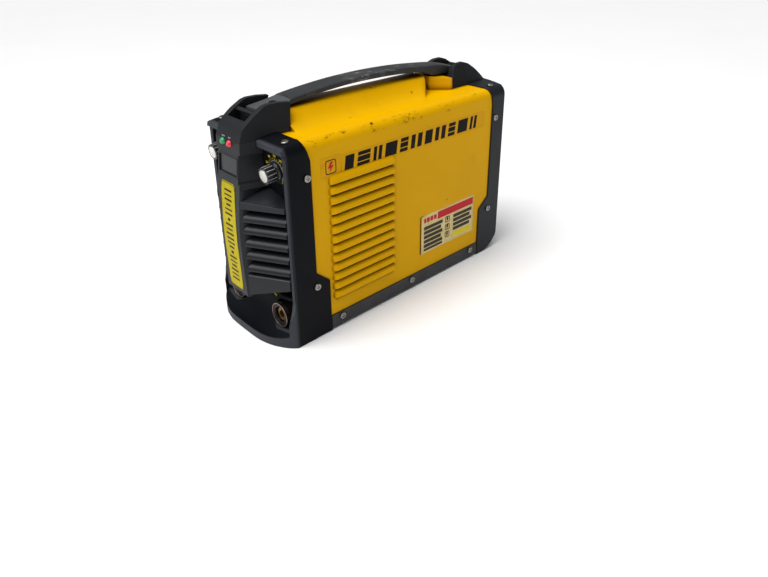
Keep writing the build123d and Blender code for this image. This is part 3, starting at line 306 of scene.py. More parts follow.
M = {
    # The bezel is the spine's plastic in a darker tone as painted shade for its shaded sides; front=True adds
    # painted front light.
    "bezel": moulded("bezel_moulding_painted_shade_and_front_light", rgb(5, 7, 12), rgb(9, 11, 17), rough=0.55, spec=0.08,
                     front=True),
    "rear": moulded("rear_moulding", rgb(17, 20, 25), rgb(24, 27, 33), rough=0.5, spec=0.2),
    "spine": moulded("spine_moulding", rgb(24, 25, 28), rgb(32, 34, 37), rough=0.5, spec=0.2),
    "grip": moulded("grip_moulding", rgb(34, 36, 38), rgb(54, 56, 58), rough=0.52, scuff=0.7,
                    spec=0.28, grain=500.0, worn_at=((0.09, 0.045), (0.0, 0.06))),
    "tongue": moulded("tongue_moulding", rgb(66, 68, 70), rgb(78, 80, 82), rough=0.5, scuff=0.2,
                      spec=0.28),
    "grille": moulded("grille_moulding", rgb(17, 18, 22), rgb(25, 26, 31), rough=0.4, spec=0.28),
    "knob": moulded("knob_moulding", rgb(16, 16, 18), rgb(26, 26, 28), rough=0.32, strength=0.1,
                    spec=0.5),
    "dark": moulded("dark_moulding", rgb(16, 16, 18), rgb(26, 26, 28), rough=0.4, spec=0.3),
    "yellow": paint("yellow_powder_coat"),
    "pan": plain("black_powder_coat", rgb(42, 42, 45), rgb(54, 54, 57), 0.42, 30.0, 0.0, 0.3, 500.0),
    "zinc": metal("zinc_plate", rgb(150, 148, 142), 0.3),
    "blackened": plain("blackened_steel", rgb(18, 18, 19), rgb(30, 30, 31), 0.4, 200.0, 0.6),
    "silver": metal("satin_cap", rgb(226, 225, 220), 0.38, (1.0, 1.0, 1.0)),
    "steel": metal("bright_steel", rgb(178, 178, 178), 0.28),
    "brass": metal("turned_brass", rgb(190, 142, 78), 0.3),
    "copper_ring": metal("copper_ring", rgb(176, 150, 136), 0.3),
    "aluminium": metal("extruded_aluminium", rgb(150, 152, 155), 0.35, (1.0, 30.0, 1.0)),
    "copper": plain("enamelled_copper", rgb(150, 74, 34), rgb(196, 108, 56), 0.35, 220.0, 0.6, 0.4,
                    300.0),
    "ferrite": plain("ferrite", rgb(48, 48, 50), rgb(64, 64, 66), 0.55, 90.0),
    "board": plain("circuit_board", rgb(12, 66, 34), rgb(22, 92, 50), 0.35, 240.0),
    "display": plain("smoked_window", rgb(26, 27, 29), rgb(32, 33, 35), 0.25, 40.0, 0.0, 0.03),
    "led_green": lens("green_lens", rgb(10, 128, 72), rgb(28, 160, 100)),
    "led_red": lens("red_lens", rgb(196, 22, 44), rgb(224, 62, 72)),
    "label": plain("label_film", rgb(166, 150, 6), rgb(180, 164, 16), 0.4, 50.0, spec=0.06),
    "brown": plain("brown_ink", rgb(44, 30, 8), rgb(60, 42, 14), 0.4, 240.0, 0.0, 0.1, spec=0.06),
    "sticker": plain("sticker_film", rgb(206, 170, 60), rgb(218, 186, 80), 0.42, 60.0, spec=0.06),
    "cream": plain("cream_film", rgb(210, 188, 128), rgb(222, 204, 152), 0.36, 70.0, spec=0.06),
    "film": plain("clear_film_over_yellow", rgb(214, 158, 0), rgb(206, 150, 0), 0.3, 90.0, 0.0,
                  0.05, spec=0.06),
    "ink": plain("black_ink", rgb(12, 10, 6), rgb(24, 20, 12), 0.35, 260.0, 0.0, 0.1, spec=0.06),
    "ink_red": plain("red_ink", rgb(196, 34, 40), rgb(178, 46, 52), 0.35, 160.0, 0.0, 0.1, spec=0.06),
    "ink_grey": plain("grey_ink", rgb(30, 28, 24), rgb(84, 80, 66), 0.4, 900.0, 0.0, 0.1, spec=0.06),
    "ink_yellow": plain("yellow_ink", rgb(226, 206, 24), rgb(210, 190, 40), 0.4, 300.0, 0.0, 0.1,
                        spec=0.06),
    # white for the knob's printed pointer and for painted highlights along its flutes
    "pointer_ink_and_painted_highlight": plain("white_pointer_ink_and_painted_flute_highlights", rgb(208, 208, 206), rgb(188, 188, 186), 0.4, 300.0, 0.0, 0.1),
    "ink_grey_light": plain("light_grey_ink", rgb(150, 150, 150), rgb(128, 128, 130), 0.4, 300.0,
                            0.0, 0.1),
}
BY_SLOT = {
    "black_moulding": "bezel", "grip": "grip", "yellow_paint": "yellow", "black_paint": "pan",
    "zinc": "zinc", "black_screw": "blackened", "display": "display", "dark_part": "dark",
    "board": "board", "led_green": "led_green", "led_red": "led_red", "yellow_label": "label",
    "sticker": "sticker", "knob_black": "knob", "cap_silver": "silver", "steel": "steel",
    "dial_print": "dark", "socket_black": "dark", "socket_ring": "copper_ring", "brass": "brass",
    "aluminium": "aluminium", "ferrite": "ferrite", "copper": "copper",
}
SLOT_OF = {entry["node"]: entry["material_slot"] for entry in frame["record"]["subparts"]}
for node_name, node in NODES.items():
    wanted = M[BY_SLOT[SLOT_OF[node_name]]]
    for index in range(len(node.material_slots)):
        node.material_slots[index].material = wanted
    if not node.material_slots:
        node.data.materials.append(wanted)


# ------------------------------------------------------------------ mesh helpers
def transformed(points, origin, u_axis, v_axis):
    """Points (u, v) in millimetres laid on a plane, as vectors in metres."""
    return [(Vector(origin) + Vector(u_axis) * u + Vector(v_axis) * v) * MM for u, v in points]


def prism(bm, ring, offset):
    """Closed prism between a polygon and its copy moved by offset."""
    base = [bm.verts.new(p) for p in ring]
    top = [bm.verts.new(p + offset) for p in ring]
    count = len(ring)
    bm.faces.new(list(reversed(base)))
    bm.faces.new(top)
    for i in range(count):
        j = (i + 1) % count
        bm.faces.new((base[i], base[j], top[j], top[i]))


def to_object(bm, name, material, sharp=35.0):
    """Mesh object from a bmesh, smooth shaded with sharp creases kept."""
    bmesh.ops.recalc_face_normals(bm, faces=bm.faces)
    mesh = bpy.data.meshes.new(name)
    bm.to_mesh(mesh)
    bm.free()
    mesh.polygons.foreach_set("use_smooth", [True] * len(mesh.polygons))
    mesh.set_sharp_from_angle(angle=math.radians(sharp))
    mesh.materials.append(material)
    item = bpy.data.objects.new(name, mesh)
    bpy.context.collection.objects.link(item)
    return item


def baked(item):
    """Apply every modifier of an object."""
    graph = bpy.context.evaluated_depsgraph_get()
    graph.update()
    mesh = bpy.data.meshes.new_from_object(item.evaluated_get(graph))
    item.modifiers.clear()
    item.data = mesh


def place(item, body, slot, *nodes):
    """Attach a finished piece to its body and hide the CAD nodes it stands for; slot is not used."""
    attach(item, body)
    if nodes:
        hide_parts(*nodes)
    return item


def rounded(node, width, material, body=CASE, split_front=False):
    """CAD node rebuilt with soft moulded or broken edges; width in millimetres."""
    bm = bmesh.new()
    bm.from_mesh(NODES[node].data)
    bmesh.ops.remove_doubles(bm, verts=bm.verts, dist=2e-6)
    flat = math.radians(0.6)
    bmesh.ops.dissolve_limit(bm, angle_limit=flat, verts=bm.verts, edges=bm.edges)
    bmesh.ops.recalc_face_normals(bm, faces=bm.faces)
    if split_front:  # so that a soft corner can't fold a whole front face over
        wide = [face for face in bm.faces if len(face.verts) > 4 and face.normal.y < -0.999]
        bmesh.ops.triangulate(bm, faces=wide)
    skin = BVHTree.FromBMesh(bm)
    mesh = bpy.data.meshes.new(node + "_soft")
    bm.to_mesh(mesh)
    bm.free()
    mesh.polygons.foreach_set("use_smooth", [True] * len(mesh.polygons))
    mesh.materials.append(material)
    item = bpy.data.objects.new(node + "_soft", mesh)
    bpy.context.collection.objects.link(item)
    bevel = item.modifiers.new("edge", "BEVEL")
    bevel.limit_method = "ANGLE"
    bevel.angle_limit = EDGE_ANGLE
    bevel.width = width * MM
    bevel.segments = EDGE_STEPS
    bevel.use_clamp_overlap = False
    bevel.miter_outer = "MITER_SHARP"
    bevel.face_strength_mode = "FSTR_ALL"
    baked(item)
    # corners with very short edges can throw a vertex outwards; it goes back to the surface
    for vertex in item.data.vertices:
        spot, _, _, away = skin.find_nearest(vertex.co)
        if away > 0.6 * width * MM:
            vertex.co = spot
    even = item.modifiers.new("shading", "WEIGHTED_NORMAL")
    even.mode = "FACE_AREA"
    even.weight = 80
    even.keep_sharp = True
    even.use_face_influence = True
    baked(item)
    place(item, body, SLOT_OF[node], node)


def smoothstep(t):
    t = min(max(t, 0.0), 1.0)
    return t * t * (3.0 - 2.0 * t)


def along(points, value):
    """Smooth curve through (position, height) points, sorted by position."""
    if value <= points[0][0]:
        return points[0][1]
    for i in range(len(points) - 1):
        (x0, y0), (x1, y1) = points[i], points[i + 1]
        if value <= x1:
            before = points[max(i - 1, 0)]
            after = points[min(i + 2, len(points) - 1)]
            slope0 = (y1 - before[1]) / max(x1 - before[0], 1e-9)
            slope1 = (after[1] - y0) / max(after[0] - x0, 1e-9)
            t = (value - x0) / (x1 - x0)
            span = x1 - x0
            return ((2 * t**3 - 3 * t**2 + 1) * y0 + (t**3 - 2 * t**2 + t) * span * slope0
                    + (-2 * t**3 + 3 * t**2) * y1 + (t**3 - t**2) * span * slope1)
    return points[-1][1]


# ------------------------------------------------------------------ folded yellow cover
cover_low, cover_high = box_mm("cover")
sticker_low, sticker_high = box_mm("side_sticker")
COVER_X = sticker_low.x - 0.05
COVER_TOP = cover_high.z - 21.8
COVER_START = cover_low.y + 0.3
COVER_END = cover_high.y - 0.3
CORNER = 11.0
LOUVRES = 13
LOUVRE_FIRST = 189.5
LOUVRE_PITCH = 12.2
LOUVRE_HEIGHT = 10.8
LOUVRE_FRONT = -131.0
LOUVRE_REAR = -30.0
LOUVRE_END = 6.6
RIDGE_START = -146.2
RIDGE_START_MIDDLE = -140.5
RIDGE_MIDDLE = 23.9
SADDLE_END = 116.6
SADDLE_HALF = 33.7
RIDGE = [(0.0, 267.3), (8.0, 266.9), (15.0, 265.2), (19.0, 262.2), (23.0, 258.0), (28.0, 253.4),
         (34.0, 249.4), (40.0, 246.8), (46.0, COVER_TOP)]
LIP = [(0.0, 3.4), (0.7, 4.7), (1.8, 5.4), (3.4, 5.7), (5.4, 5.5), (7.4, 4.6), (9.2, 2.9), (10.2, 1.3),
       (LOUVRE_HEIGHT, 0.0)]


def ridge_start(x):
    return RIDGE_START_MIDDLE if x < RIDGE_MIDDLE else RIDGE_START


def ridge_end(x):
    if x <= 17.0:
        return 84.0 - x / 17.0
    return max(83.0 - (x - 17.0) * 30.0 / 29.0, 53.0)


def saddle_start(x):
    return 92.6 + max(0.0, min((x - 12.0) / 21.6, 1.0)) * 22.4


def steps(a, b, count):
    return [a + (b - a) * i / count for i in range(count)]


louvre_ends = [0.0, 0.35, 0.9, 1.8, 3.0, 4.6, LOUVRE_END]
body_lines = steps(RIDGE_START, LOUVRE_FRONT - 1.0, 4) + [LOUVRE_FRONT + d for d in louvre_ends]
body_lines += steps(LOUVRE_FRONT + 12.0, LOUVRE_REAR - 12.0, 12) + [LOUVRE_REAR - 12.0]
body_lines += [LOUVRE_REAR - d for d in reversed(louvre_ends)] + steps(LOUVRE_REAR + 1.0, 50.5, 14)


def column_lines(x):
    """Positions along the cover for one lengthwise cut; every cut has the same count."""
    end = ridge_end(x)
    saddle = saddle_start(x)
    start = ridge_start(x)
    lines = steps(COVER_START, start - 1.0, 4) + [start - 1.0]
    share = [(y - RIDGE_START) / 196.7 for y in body_lines]
    lines += [start + s * (end - 2.5 - start) for s in share]
    lines += steps(end - 2.5, end + 1.5, 5) + steps(end + 1.5, saddle - 0.7, 7)
    lines += steps(saddle - 0.7, saddle + 0.7, 2) + steps(saddle + 0.7, SADDLE_END, 6)
    lines += [SADDLE_END, 117.6] + steps(119.0, COVER_END, 5) + [COVER_END]
    return lines


def top_height(x, y):
    end = ridge_end(x)
    height = COVER_TOP
    if ridge_start(x) - 0.01 <= y <= end + 1.5:
        rise = along(RIDGE, x) - COVER_TOP
        fall = 1.0 - smoothstep((y - end + 2.5) / 4.0)
        height += max(rise, 0.0) * fall
    saddle = saddle_start(x)
    if x < SADDLE_HALF and saddle - 0.7 < y <= SADDLE_END + 0.1:
        level = 263.4 - (y - 92.0) * 0.09
        height += (level - COVER_TOP) * smoothstep((y - saddle + 0.7) / 1.4)
    return height


def louvre_depth(y, z):
    """Outward bulge of the side panel at a point."""
    if not LOUVRE_FRONT <= y <= LOUVRE_REAR:
        return 0.0
    index = math.floor((LOUVRE_FIRST + LOUVRE_PITCH - z) / LOUVRE_PITCH)
    for i in (index - 1, index, index + 1):
        local = z - (LOUVRE_FIRST - i * LOUVRE_PITCH)
        if 0 <= i < LOUVRES and -1e-6 <= local <= LOUVRE_HEIGHT:
            edge = min(y - LOUVRE_FRONT, LOUVRE_REAR - y)
            t = min(edge / LOUVRE_END, 1.0)
            full = math.sqrt(max(0.0, 1.0 - (1.0 - t) ** 2))
            stretch = LOUVRE_HEIGHT * (0.45 + 0.55 * full)
            if local > stretch:
                return 0.0
            return along(LIP, local * LOUVRE_HEIGHT / stretch) * full
    return 0.0


def cover_grid(side):
    """Half of the cover as rows of points, and the faces to leave open under each louvre."""
    rows = []
    top_x = [0.0] + [1.6 * i for i in range(1, 21)]
    top_x += [33.5, 33.8, 35.5, 37.5, 40.0, 43.0, 46.0, 52.0]
    for x in top_x:
        rows.append([(x, y, top_height(x, y)) for y in column_lines(x)])
    flat_lines = column_lines(63.0)
    for i in range(11):
        turn = math.radians(9.0 * i)
        x = COVER_X - CORNER + CORNER * math.sin(turn)
        z = COVER_TOP - CORNER + CORNER * math.cos(turn)
        rows.append([(x, y, z) for y in flat_lines])
    open_rows = []
    for z in (225.0, 214.0, 206.0):
        rows.append([(COVER_X, y, z) for y in flat_lines])
    louvre_levels = (11.4, LOUVRE_HEIGHT, 10.2, 9.6, 8.8, 7.9, 6.8, 5.6, 4.4, 3.2, 2.1, 1.2, 0.5, 0.0)
    for i in range(LOUVRES):
        low = LOUVRE_FIRST - i * LOUVRE_PITCH
        for local in louvre_levels:
            z = low + local
            rows.append([(COVER_X + louvre_depth(y, z), y, z) for y in flat_lines])
        open_rows.append(len(rows) - 1)
        rows.append([(COVER_X, y, low - 0.3) for y in flat_lines])
    for z in (36.0, 21.0, 6.0):
        rows.append([(COVER_X, y, z) for y in flat_lines])
    return [[(side * x, y, z) for x, y, z in row] for row in rows], open_rows


bm = bmesh.new()
spine_verts = None
for side in (1, -1):
    rows, open_rows = cover_grid(side)
    made = []
    for index, row in enumerate(rows):
        if index == 0 and spine_verts:
            made.append(spine_verts)
        else:
            made.append([bm.verts.new(Vector(p) * MM) for p in row])
    spine_verts = spine_verts or made[0]
    for r in range(len(made) - 1):
        for c in range(len(made[0]) - 1):
            y = (rows[r][c][1] + rows[r][c + 1][1]) / 2
            if r in open_rows and LOUVRE_FRONT + 1.5 < y < LOUVRE_REAR - 1.5:
                continue
            a, b = made[r][c], made[r][c + 1]
            d, e = made[r + 1][c], made[r + 1][c + 1]
            bm.faces.new((a, b, e, d) if side > 0 else (d, e, b, a))
cover = to_object(bm, "cover_sheet", M["yellow"], 50.0)
sheet_wall = cover.modifiers.new("sheet", "SOLIDIFY")
sheet_wall.thickness = 1.2 * MM
sheet_wall.offset = -1.0
baked(cover)
place(cover, CASE, "yellow_paint", "cover")

# ------------------------------------------------------------------ mouldings and hardware, soft edges
rounded("front_bezel", 0.8, M["bezel"], split_front=True)
for node, width, look in (
        ("rear_bezel", 0.8, "rear"), ("front_spine", 0.6, "spine"),
        ("rear_bracket", 0.6, "spine"), ("grille_right", 0.4, "grille"), ("grille_left", 0.4, "grille"),
        ("base_pan", 0.35, "pan"), ("switch_body", 0.4, "dark"), ("gland_body", 0.4, "dark"),
        ("gland_dome", 0.6, "dark"), ("socket_shells", 0.35, "dark"), ("socket_rings", 0.3, "copper_ring"),
        ("fan_grille", 0.5, "steel"), ("side_screws", 0.25, "zinc"), ("base_screws", 0.25, "zinc"),
        ("top_screws", 0.25, "zinc"), ("handle_screws", 0.25, "blackened")):
    rounded(node, width, M[look])
for body in ("knob_right", "knob_left"):
    rounded(body, 0.3, M["knob"], body)
    rounded(body.replace("knob", "knob_cap"), 0.25, M["silver"], body)
rounded("switch_rocker", 0.5, M["dark"], "power_switch")

# ------------------------------------------------------------------ carry handle
HANDLE_TOP = [(-171.5, 270.6), (-160.0, 272.0), (-147.0, 273.6), (-133.0, 276.0), (-115.0, 278.2),
              (-98.0, 279.9), (-69.0, 282.2), (-40.0, 283.5), (-10.0, 284.0), (29.0, 283.2),
              (65.0, 281.0), (103.0, 277.4), (125.0, 274.6), (141.0, 271.2), (152.0, 268.2),
              (160.0, 265.6)]
HANDLE_BOTTOM = [(-171.5, 266.2), (-147.0, 267.6), (-131.0, 269.6), (-91.0, 274.6), (-46.0, 277.4),
                 (3.0, 277.2), (38.0, 275.6), (65.0, 273.2), (80.0, 271.2), (91.0, 267.5),
                 (98.0, 264.4), (141.0, 264.0), (160.0, 261.5)]
GRIP_START = -134.0
GRIP_END = 128.0
HALF = 15.5
GRIP_BOW = 4.0
HANDLE_BOLTS = (-147.0, 146.0)
BOLT_RADIUS = 4.4


def handle_ring(y):
    """Rounded section of the handle; the grip sits slightly lower than its two end tongues."""
    grip = smoothstep((y - GRIP_START) / 1.2) * smoothstep((GRIP_END - y) / 1.2)
    top = along(HANDLE_TOP, y) - 1.3 * (1.0 - grip) * (1.0 if y < 0 else 0.4)
    bottom = along(HANDLE_BOTTOM, y)
    thick = top - bottom
    r_top = min(1.0 + 1.9 * grip, thick * 0.45)
    r_low = min(0.9, thick * 0.3)
    ring = []
    corners = ((1, r_top, top, 1), (-1, r_top, top, 1), (-1, r_low, bottom, -1), (1, r_low, bottom, -1))
    for sx, r, level, up in corners:
        quarter = []
        for k in range(5):
            turn = math.radians(22.5 * k)
            quarter.append((sx * (HALF - r + r * math.cos(turn)), level - up * (r - r * math.sin(turn))))
        if (sx > 0) != (up > 0):
            quarter.reverse()
        ring += quarter
        if up > 0 and sx > 0:
            ring += [(x, level + 0.35 * grip * math.cos(math.pi * x / 26.0))
                     for x in (9.0, 4.5, 0.0, -4.5, -9.0)]
    points = []
    for x, z in ring:
        near = math.exp(-((y - GRIP_START) / 9.0) ** 2) - math.exp(-((y - GRIP_END) / 9.0) ** 2)
        bow = GRIP_BOW * (1.0 - (x / HALF) ** 2) * near
        points.append((x, y + bow, z))
    return points


bar_low, bar_high = box_mm("handle_bar")
ys = steps(bar_low.y, -136.0, 14) + steps(-136.0, -131.0, 10) + steps(-131.0, 90.0, 70)
ys += steps(90.0, 99.0, 6) + steps(99.0, 126.0, 10) + steps(126.0, 131.0, 10)
ys += steps(131.0, bar_high.y, 12) + [bar_high.y]
bm = bmesh.new()
rings = [[bm.verts.new(Vector(p) * MM) for p in handle_ring(y)] for y in ys]
for a, b in zip(rings, rings[1:]):
    for i in range(len(a)):
        j = (i + 1) % len(a)
        bm.faces.new((a[i], a[j], b[j], b[i]))
bm.faces.new(rings[0])
bm.faces.new(list(reversed(rings[-1])))
handle = to_object(bm, "handle_grip", M["grip"], 40.0)
for y in HANDLE_BOLTS:
    bm = bmesh.new()
    ring = []
    for turn in range(0, 360, 10):
        a = math.radians(turn)
        ring.append(Vector((BOLT_RADIUS * math.cos(a), y + BOLT_RADIUS * math.sin(a), 255.0)) * MM)
    prism(bm, ring, Vector((0, 0, 0.045)))
    cutter = to_object(bm, "cutter", M["grip"])
    cut = handle.modifiers.new("bore", "BOOLEAN")
    cut.operation = "DIFFERENCE"
    cut.solver = "EXACT"
    cut.object = cutter
    baked(handle)
    bpy.data.objects.remove(cutter)
handle.data.set_sharp_from_angle(angle=math.radians(40.0))
handle.data.materials.append(M["tongue"])
for face in handle.data.polygons:
    bow = GRIP_BOW * (1.0 - (face.center.x / MM / HALF) ** 2)
    if face.center.y / MM < GRIP_START + bow or face.center.y / MM > GRIP_END - bow:
        face.material_index = 1
place(handle, CASE, "grip", "handle_bar")

# ------------------------------------------------------------------ prints on the side panel
DECAL = 0.16
FILM_LIFT = 0.02
INK_LIFT = 0.2
STICKER_LIFT = 0.34
BAR_LEAN = 2.4
BAR_GAP = 5.6


def side_shapes(name, look, slot, shapes, lift, side=1, nodes=()):
    """Thin printed shapes on a side panel; shapes are outlines in (y, z)."""
    bm = bmesh.new()
    x = side * (COVER_X + lift)
    for shape in shapes:
        prism(bm, transformed(shape, (x, 0, 0), (0, 1, 0), (0, 0, 1)), Vector((side * DECAL * MM, 0, 0)))
    return place(to_object(bm, name, M[look]), CASE, slot, *nodes)


def box_outline(y0, y1, z0, z1, radius=0.0, lean=0.0):
    if radius <= 0:
        return [(y0, z0), (y1, z0), (y1 + lean, z1), (y0 + lean, z1)]
    points = []
    for cy, cz, start in ((y1 - radius, z1 - radius, 0), (y0 + radius, z1 - radius, 90),
                          (y0 + radius, z0 + radius, 180), (y1 - radius, z0 + radius, 270)):
        for k in range(5):
            a = math.radians(start + 22.5 * k)
            points.append((cy + radius * math.cos(a), cz + radius * math.sin(a)))
    return points


def frame_strips(y0, y1, z0, z1, radius, width):
    """Rounded frame as a chain of short quads."""
    outer = box_outline(y0, y1, z0, z1, radius)
    inner = box_outline(y0 + width, y1 - width, z0 + width, z1 - width, max(radius - width, 0.3))
    quads = []
    for i in range(len(outer)):
        j = (i + 1) % len(outer)
        quads.append([outer[i], outer[j], inner[j], inner[i]])
    return quads


BOLT = [(-0.6, 5.8), (-4.2, -1.2), (-0.9, -1.2), (-2.0, -5.8), (4.2, 1.6), (0.8, 1.6), (3.2, 5.8)]
badge_low, badge_high = box_mm("side_badges")
badge_y = (badge_low.y + badge_high.y) / 2
badge_z = (badge_low.z + badge_high.z) / 2
film_y = badge_low.y - 6.5
stripe_y = badge_high.y + 7.5
film_z = badge_low.z - 4.0
badge_film = box_outline(film_y, film_y + 28.0, film_z, film_z + 24.5, 1.5)
badge_frame = frame_strips(badge_low.y, badge_high.y, badge_low.z, badge_high.z, 3.0, 1.0)
badge_bolt = [(badge_y + y, badge_z + z) for y, z in BOLT]
stripe_film = box_outline(stripe_y, stripe_y + 251.0, film_z, film_z + 22.0, 1.5)
bar_low_z = badge_low.z - 1.7
bar_high_z = badge_high.z - 1.0
# Width and kind of every bar: 0 solid, 1 three short bars, 2 two uprights.
STRIPE_BARS = ((13, 0), (19, 1), (13, 2), (19, 0), (13, 1), (19, 2), (13, 0), (19, 2), (13, 1), (19, 0),
               (13, 2))
for side, tag in ((1, "right"), (-1, "left")):
    replaced = ("side_badges",) if side > 0 else ()
    side_shapes("badge_film_" + tag, "film", "sticker", [badge_film], FILM_LIFT, side)
    side_shapes("badge_frame_" + tag, "ink", "sticker", badge_frame, INK_LIFT, side, replaced)
    side_shapes("badge_bolt_" + tag, "ink_red", "sticker", [badge_bolt], INK_LIFT, side)
    bars = []
    position = stripe_y + 4.0
    for width, kind in STRIPE_BARS:
        y0 = position
        y1 = position + width
        lower, upper = bar_low_z, bar_high_z
        if kind == 0:
            bars.append(box_outline(y0, y1, lower, upper, lean=BAR_LEAN))
        elif kind == 1:
            bars.append(box_outline(y0, y1, lower, lower + 4.4, lean=0.7))
            bars.append(box_outline(y0 + 0.9, y1 + 0.9, lower + 5.7, upper - 5.7, lean=0.7))
            bars.append(box_outline(y0 + 1.8, y1 + 1.8, upper - 4.4, upper, lean=0.7))
        else:
            bars.append(box_outline(y0, y0 + width * 0.36, lower, upper, lean=BAR_LEAN))
            bars.append(box_outline(y0 + width * 0.6, y1, lower, upper, lean=BAR_LEAN))
        position = y1 + BAR_GAP
    side_shapes("stripe_film_" + tag, "film", "sticker", [stripe_film], FILM_LIFT, side)
    side_shapes("stripe_bars_" + tag, "ink", "sticker", bars, INK_LIFT, side)

# Instruction sticker: cream film, red head band, dark text blocks, yellow strip.
bm = bmesh.new()
film_rows = []
for i in range(25):
    y = sticker_low.y + (sticker_high.y - sticker_low.y) * i / 24
    curl = 1.6 * max(0.0, 1.0 - i / 2.2) ** 2
    x = COVER_X + 0.2 + curl
    film_rows.append([bm.verts.new(Vector((x, y, sticker_low.z + 14.0 * k)) * MM) for k in range(5)])
for a, b in zip(film_rows, film_rows[1:]):
    for i in range(4):
        bm.faces.new((a[i], b[i], b[i + 1], a[i + 1]))
film = to_object(bm, "sticker_film", M["cream"])
film_wall = film.modifiers.new("film", "SOLIDIFY")
film_wall.thickness = 0.12 * MM
baked(film)
place(film, CASE, "sticker", "side_sticker")
LEFT_TEXT = 22.0
RIGHT_TEXT, RIGHT_TEXT_END = 82.0, 121.0
red_shapes = [box_outline(50.0, 123.0, 87.0, 97.5)]
red_shapes += [box_outline(LEFT_TEXT + 6.8 * k, 27.2 + 6.8 * k, 89.0, 95.5) for k in range(4)]
side_shapes("sticker_red", "ink_red", "sticker", red_shapes, STICKER_LIFT)
dark_blocks = []
for row in range(5):
    z = 83.2 - row * 6.6
    dark_blocks.append(box_outline(LEFT_TEXT, 60.0 - 3.0 * (row % 2), z - 4.8, z))
    if row < 4:
        dark_blocks.append(box_outline(RIGHT_TEXT, RIGHT_TEXT_END - 4.0 * (row % 2), z - 4.8, z))
dark_blocks.append(box_outline(LEFT_TEXT, 60.0, 47.0, 50.4))
side_shapes("sticker_text", "ink_grey", "sticker", dark_blocks, STICKER_LIFT)
signs = []
for row in range(3):
    z = 80.5 - row * 11.5
    signs += frame_strips(65.5, 74.5, z - 4.5, z + 4.0, 1.6, 0.9)
    signs.append([(70 + (y * 0.55), z + (h * 0.55)) for y, h in BOLT])
side_shapes("sticker_signs", "ink", "sticker", signs, STICKER_LIFT)
yellow_strip = box_outline(RIGHT_TEXT, RIGHT_TEXT_END, 48.5, 55.0)
side_shapes("sticker_yellow", "ink_yellow", "sticker", [yellow_strip], STICKER_LIFT)

# ------------------------------------------------------------------ prow label, lamps and window marks
label_low, label_high = box_mm("spine_label")
window_low, window_high = box_mm("display_window")
PROW_LINE = [(57.0, -214.6), (85.0, -215.0), (104.0, -215.5), (127.0, -216.0), (150.0, -215.2),
             (175.0, -213.6), (195.0, -211.9), (214.0, -209.6), (229.0, -208.0), (243.0, -206.8),
             (255.5, -202.5)]
# Height and half width of every dark bar on the prow label, top to bottom.
LABEL_BARS = ((2.2, 7.2), (1.6, 7.2), (2.2, 7.2), (2.2, 4.2), (1.6, 7.2), (2.2, 7.2), (3.4, 2.4),
              (2.2, 7.2), (1.6, 5.4), (2.2, 7.2), (2.2, 7.2), (1.6, 7.2), (2.2, 4.8), (3.4, 2.4),
              (2.2, 7.2), (1.6, 7.2), (2.2, 5.0), (2.2, 7.2), (1.6, 7.2), (2.2, 7.2))
LABEL_GAP = 3.7
LENS_SHAPE = ((3.9, -0.4), (3.9, 0.5), (3.5, 0.9), (3.2, 1.6), (2.5, 2.5), (1.5, 3.1), (0.6, 3.35))


def prow_shapes(name, look, slot, shapes, lift):
    """Thin printed shapes that follow the curved prow; shapes are outlines in (x, z)."""
    bm = bmesh.new()
    for shape in shapes:
        ring = [Vector((x, along(PROW_LINE, z) - lift, z)) * MM for x, z in shape]
        prism(bm, ring, Vector((0, -0.1 * MM, 0)))
    return place(to_object(bm, name, M[look]), CASE, slot)


label_marks = []
mark_z = label_high.z - 8.5
for thick, wide in LABEL_BARS:
    low = mark_z - thick
    label_marks.append([(-wide, low), (wide, low), (wide, mark_z), (-wide, mark_z)])
    mark_z -= thick + LABEL_GAP
prow_shapes("label_marks", "brown", "yellow_label", label_marks, 0.5)
label_border = frame_strips(
    label_low.x + 0.1, label_high.x - 0.1, label_low.z + 0.4, label_high.z - 0.7, 3.8, 0.5)
prow_shapes("label_border", "brown", "yellow_label", label_border, 0.5)
for node in ("led_green", "led_red"):
    lamp_low, lamp_high = box_mm(node)
    x = (lamp_low.x + lamp_high.x) / 2
    z = (lamp_low.z + lamp_high.z) / 2 + 1.7
    bm = bmesh.new()
    circles = []
    for radius, out in LENS_SHAPE:
        circle = []
        for turn in range(0, 360, 15):
            a = math.radians(turn)
            spot = Vector((x + radius * math.cos(a), along(PROW_LINE, z) - out, z + radius * math.sin(a)))
            circle.append(bm.verts.new(spot * MM))
        circles.append(circle)
    for a, b in zip(circles, circles[1:]):
        for k in range(len(a)):
            bm.faces.new((a[k], a[(k + 1) % len(a)], b[(k + 1) % len(a)], b[k]))
    bm.faces.new(circles[-1])
    bm.faces.new(list(reversed(circles[0])))
    place(to_object(bm, node + "_lens", M[node]), CASE, node, node)

lamp_marks = []
for cx, count in ((-9.0, 4), (4.0, 3)):
    for k in range(count):
        x = cx - 2.4 + k * 1.6
        lamp_marks.append([(x, 244.0), (x + 1.1, 244.0), (x + 1.1, 245.3), (x, 245.3)])
prow_shapes("lamp_marks", "ink_grey_light", "sticker", lamp_marks, 0.06)
window_frame = frame_strips(
    window_low.x - 1.5, window_high.x + 1.5, window_low.z - 2.0, window_high.z + 2.0, 1.4, 1.3)
prow_shapes("window_frame", "spine", "black_moulding", window_frame, 0.25)

# ------------------------------------------------------------------ control dials
PANEL_OUT = Vector(JOINTS["knob_right_turn"]["axis"])
PANEL_UP = PANEL_OUT.cross(Vector((1, 0, 0)))
DIAL_LIFT = 0.62
NUMBER_RADIUS = 17.4
NUMBER_HEIGHT = 2.7
CRESCENT_INNER = 11.3
CRESCENT_OUTER = 11.5
CRESCENT_GROWTH = 1.3
CRESCENT_PARTS = 24


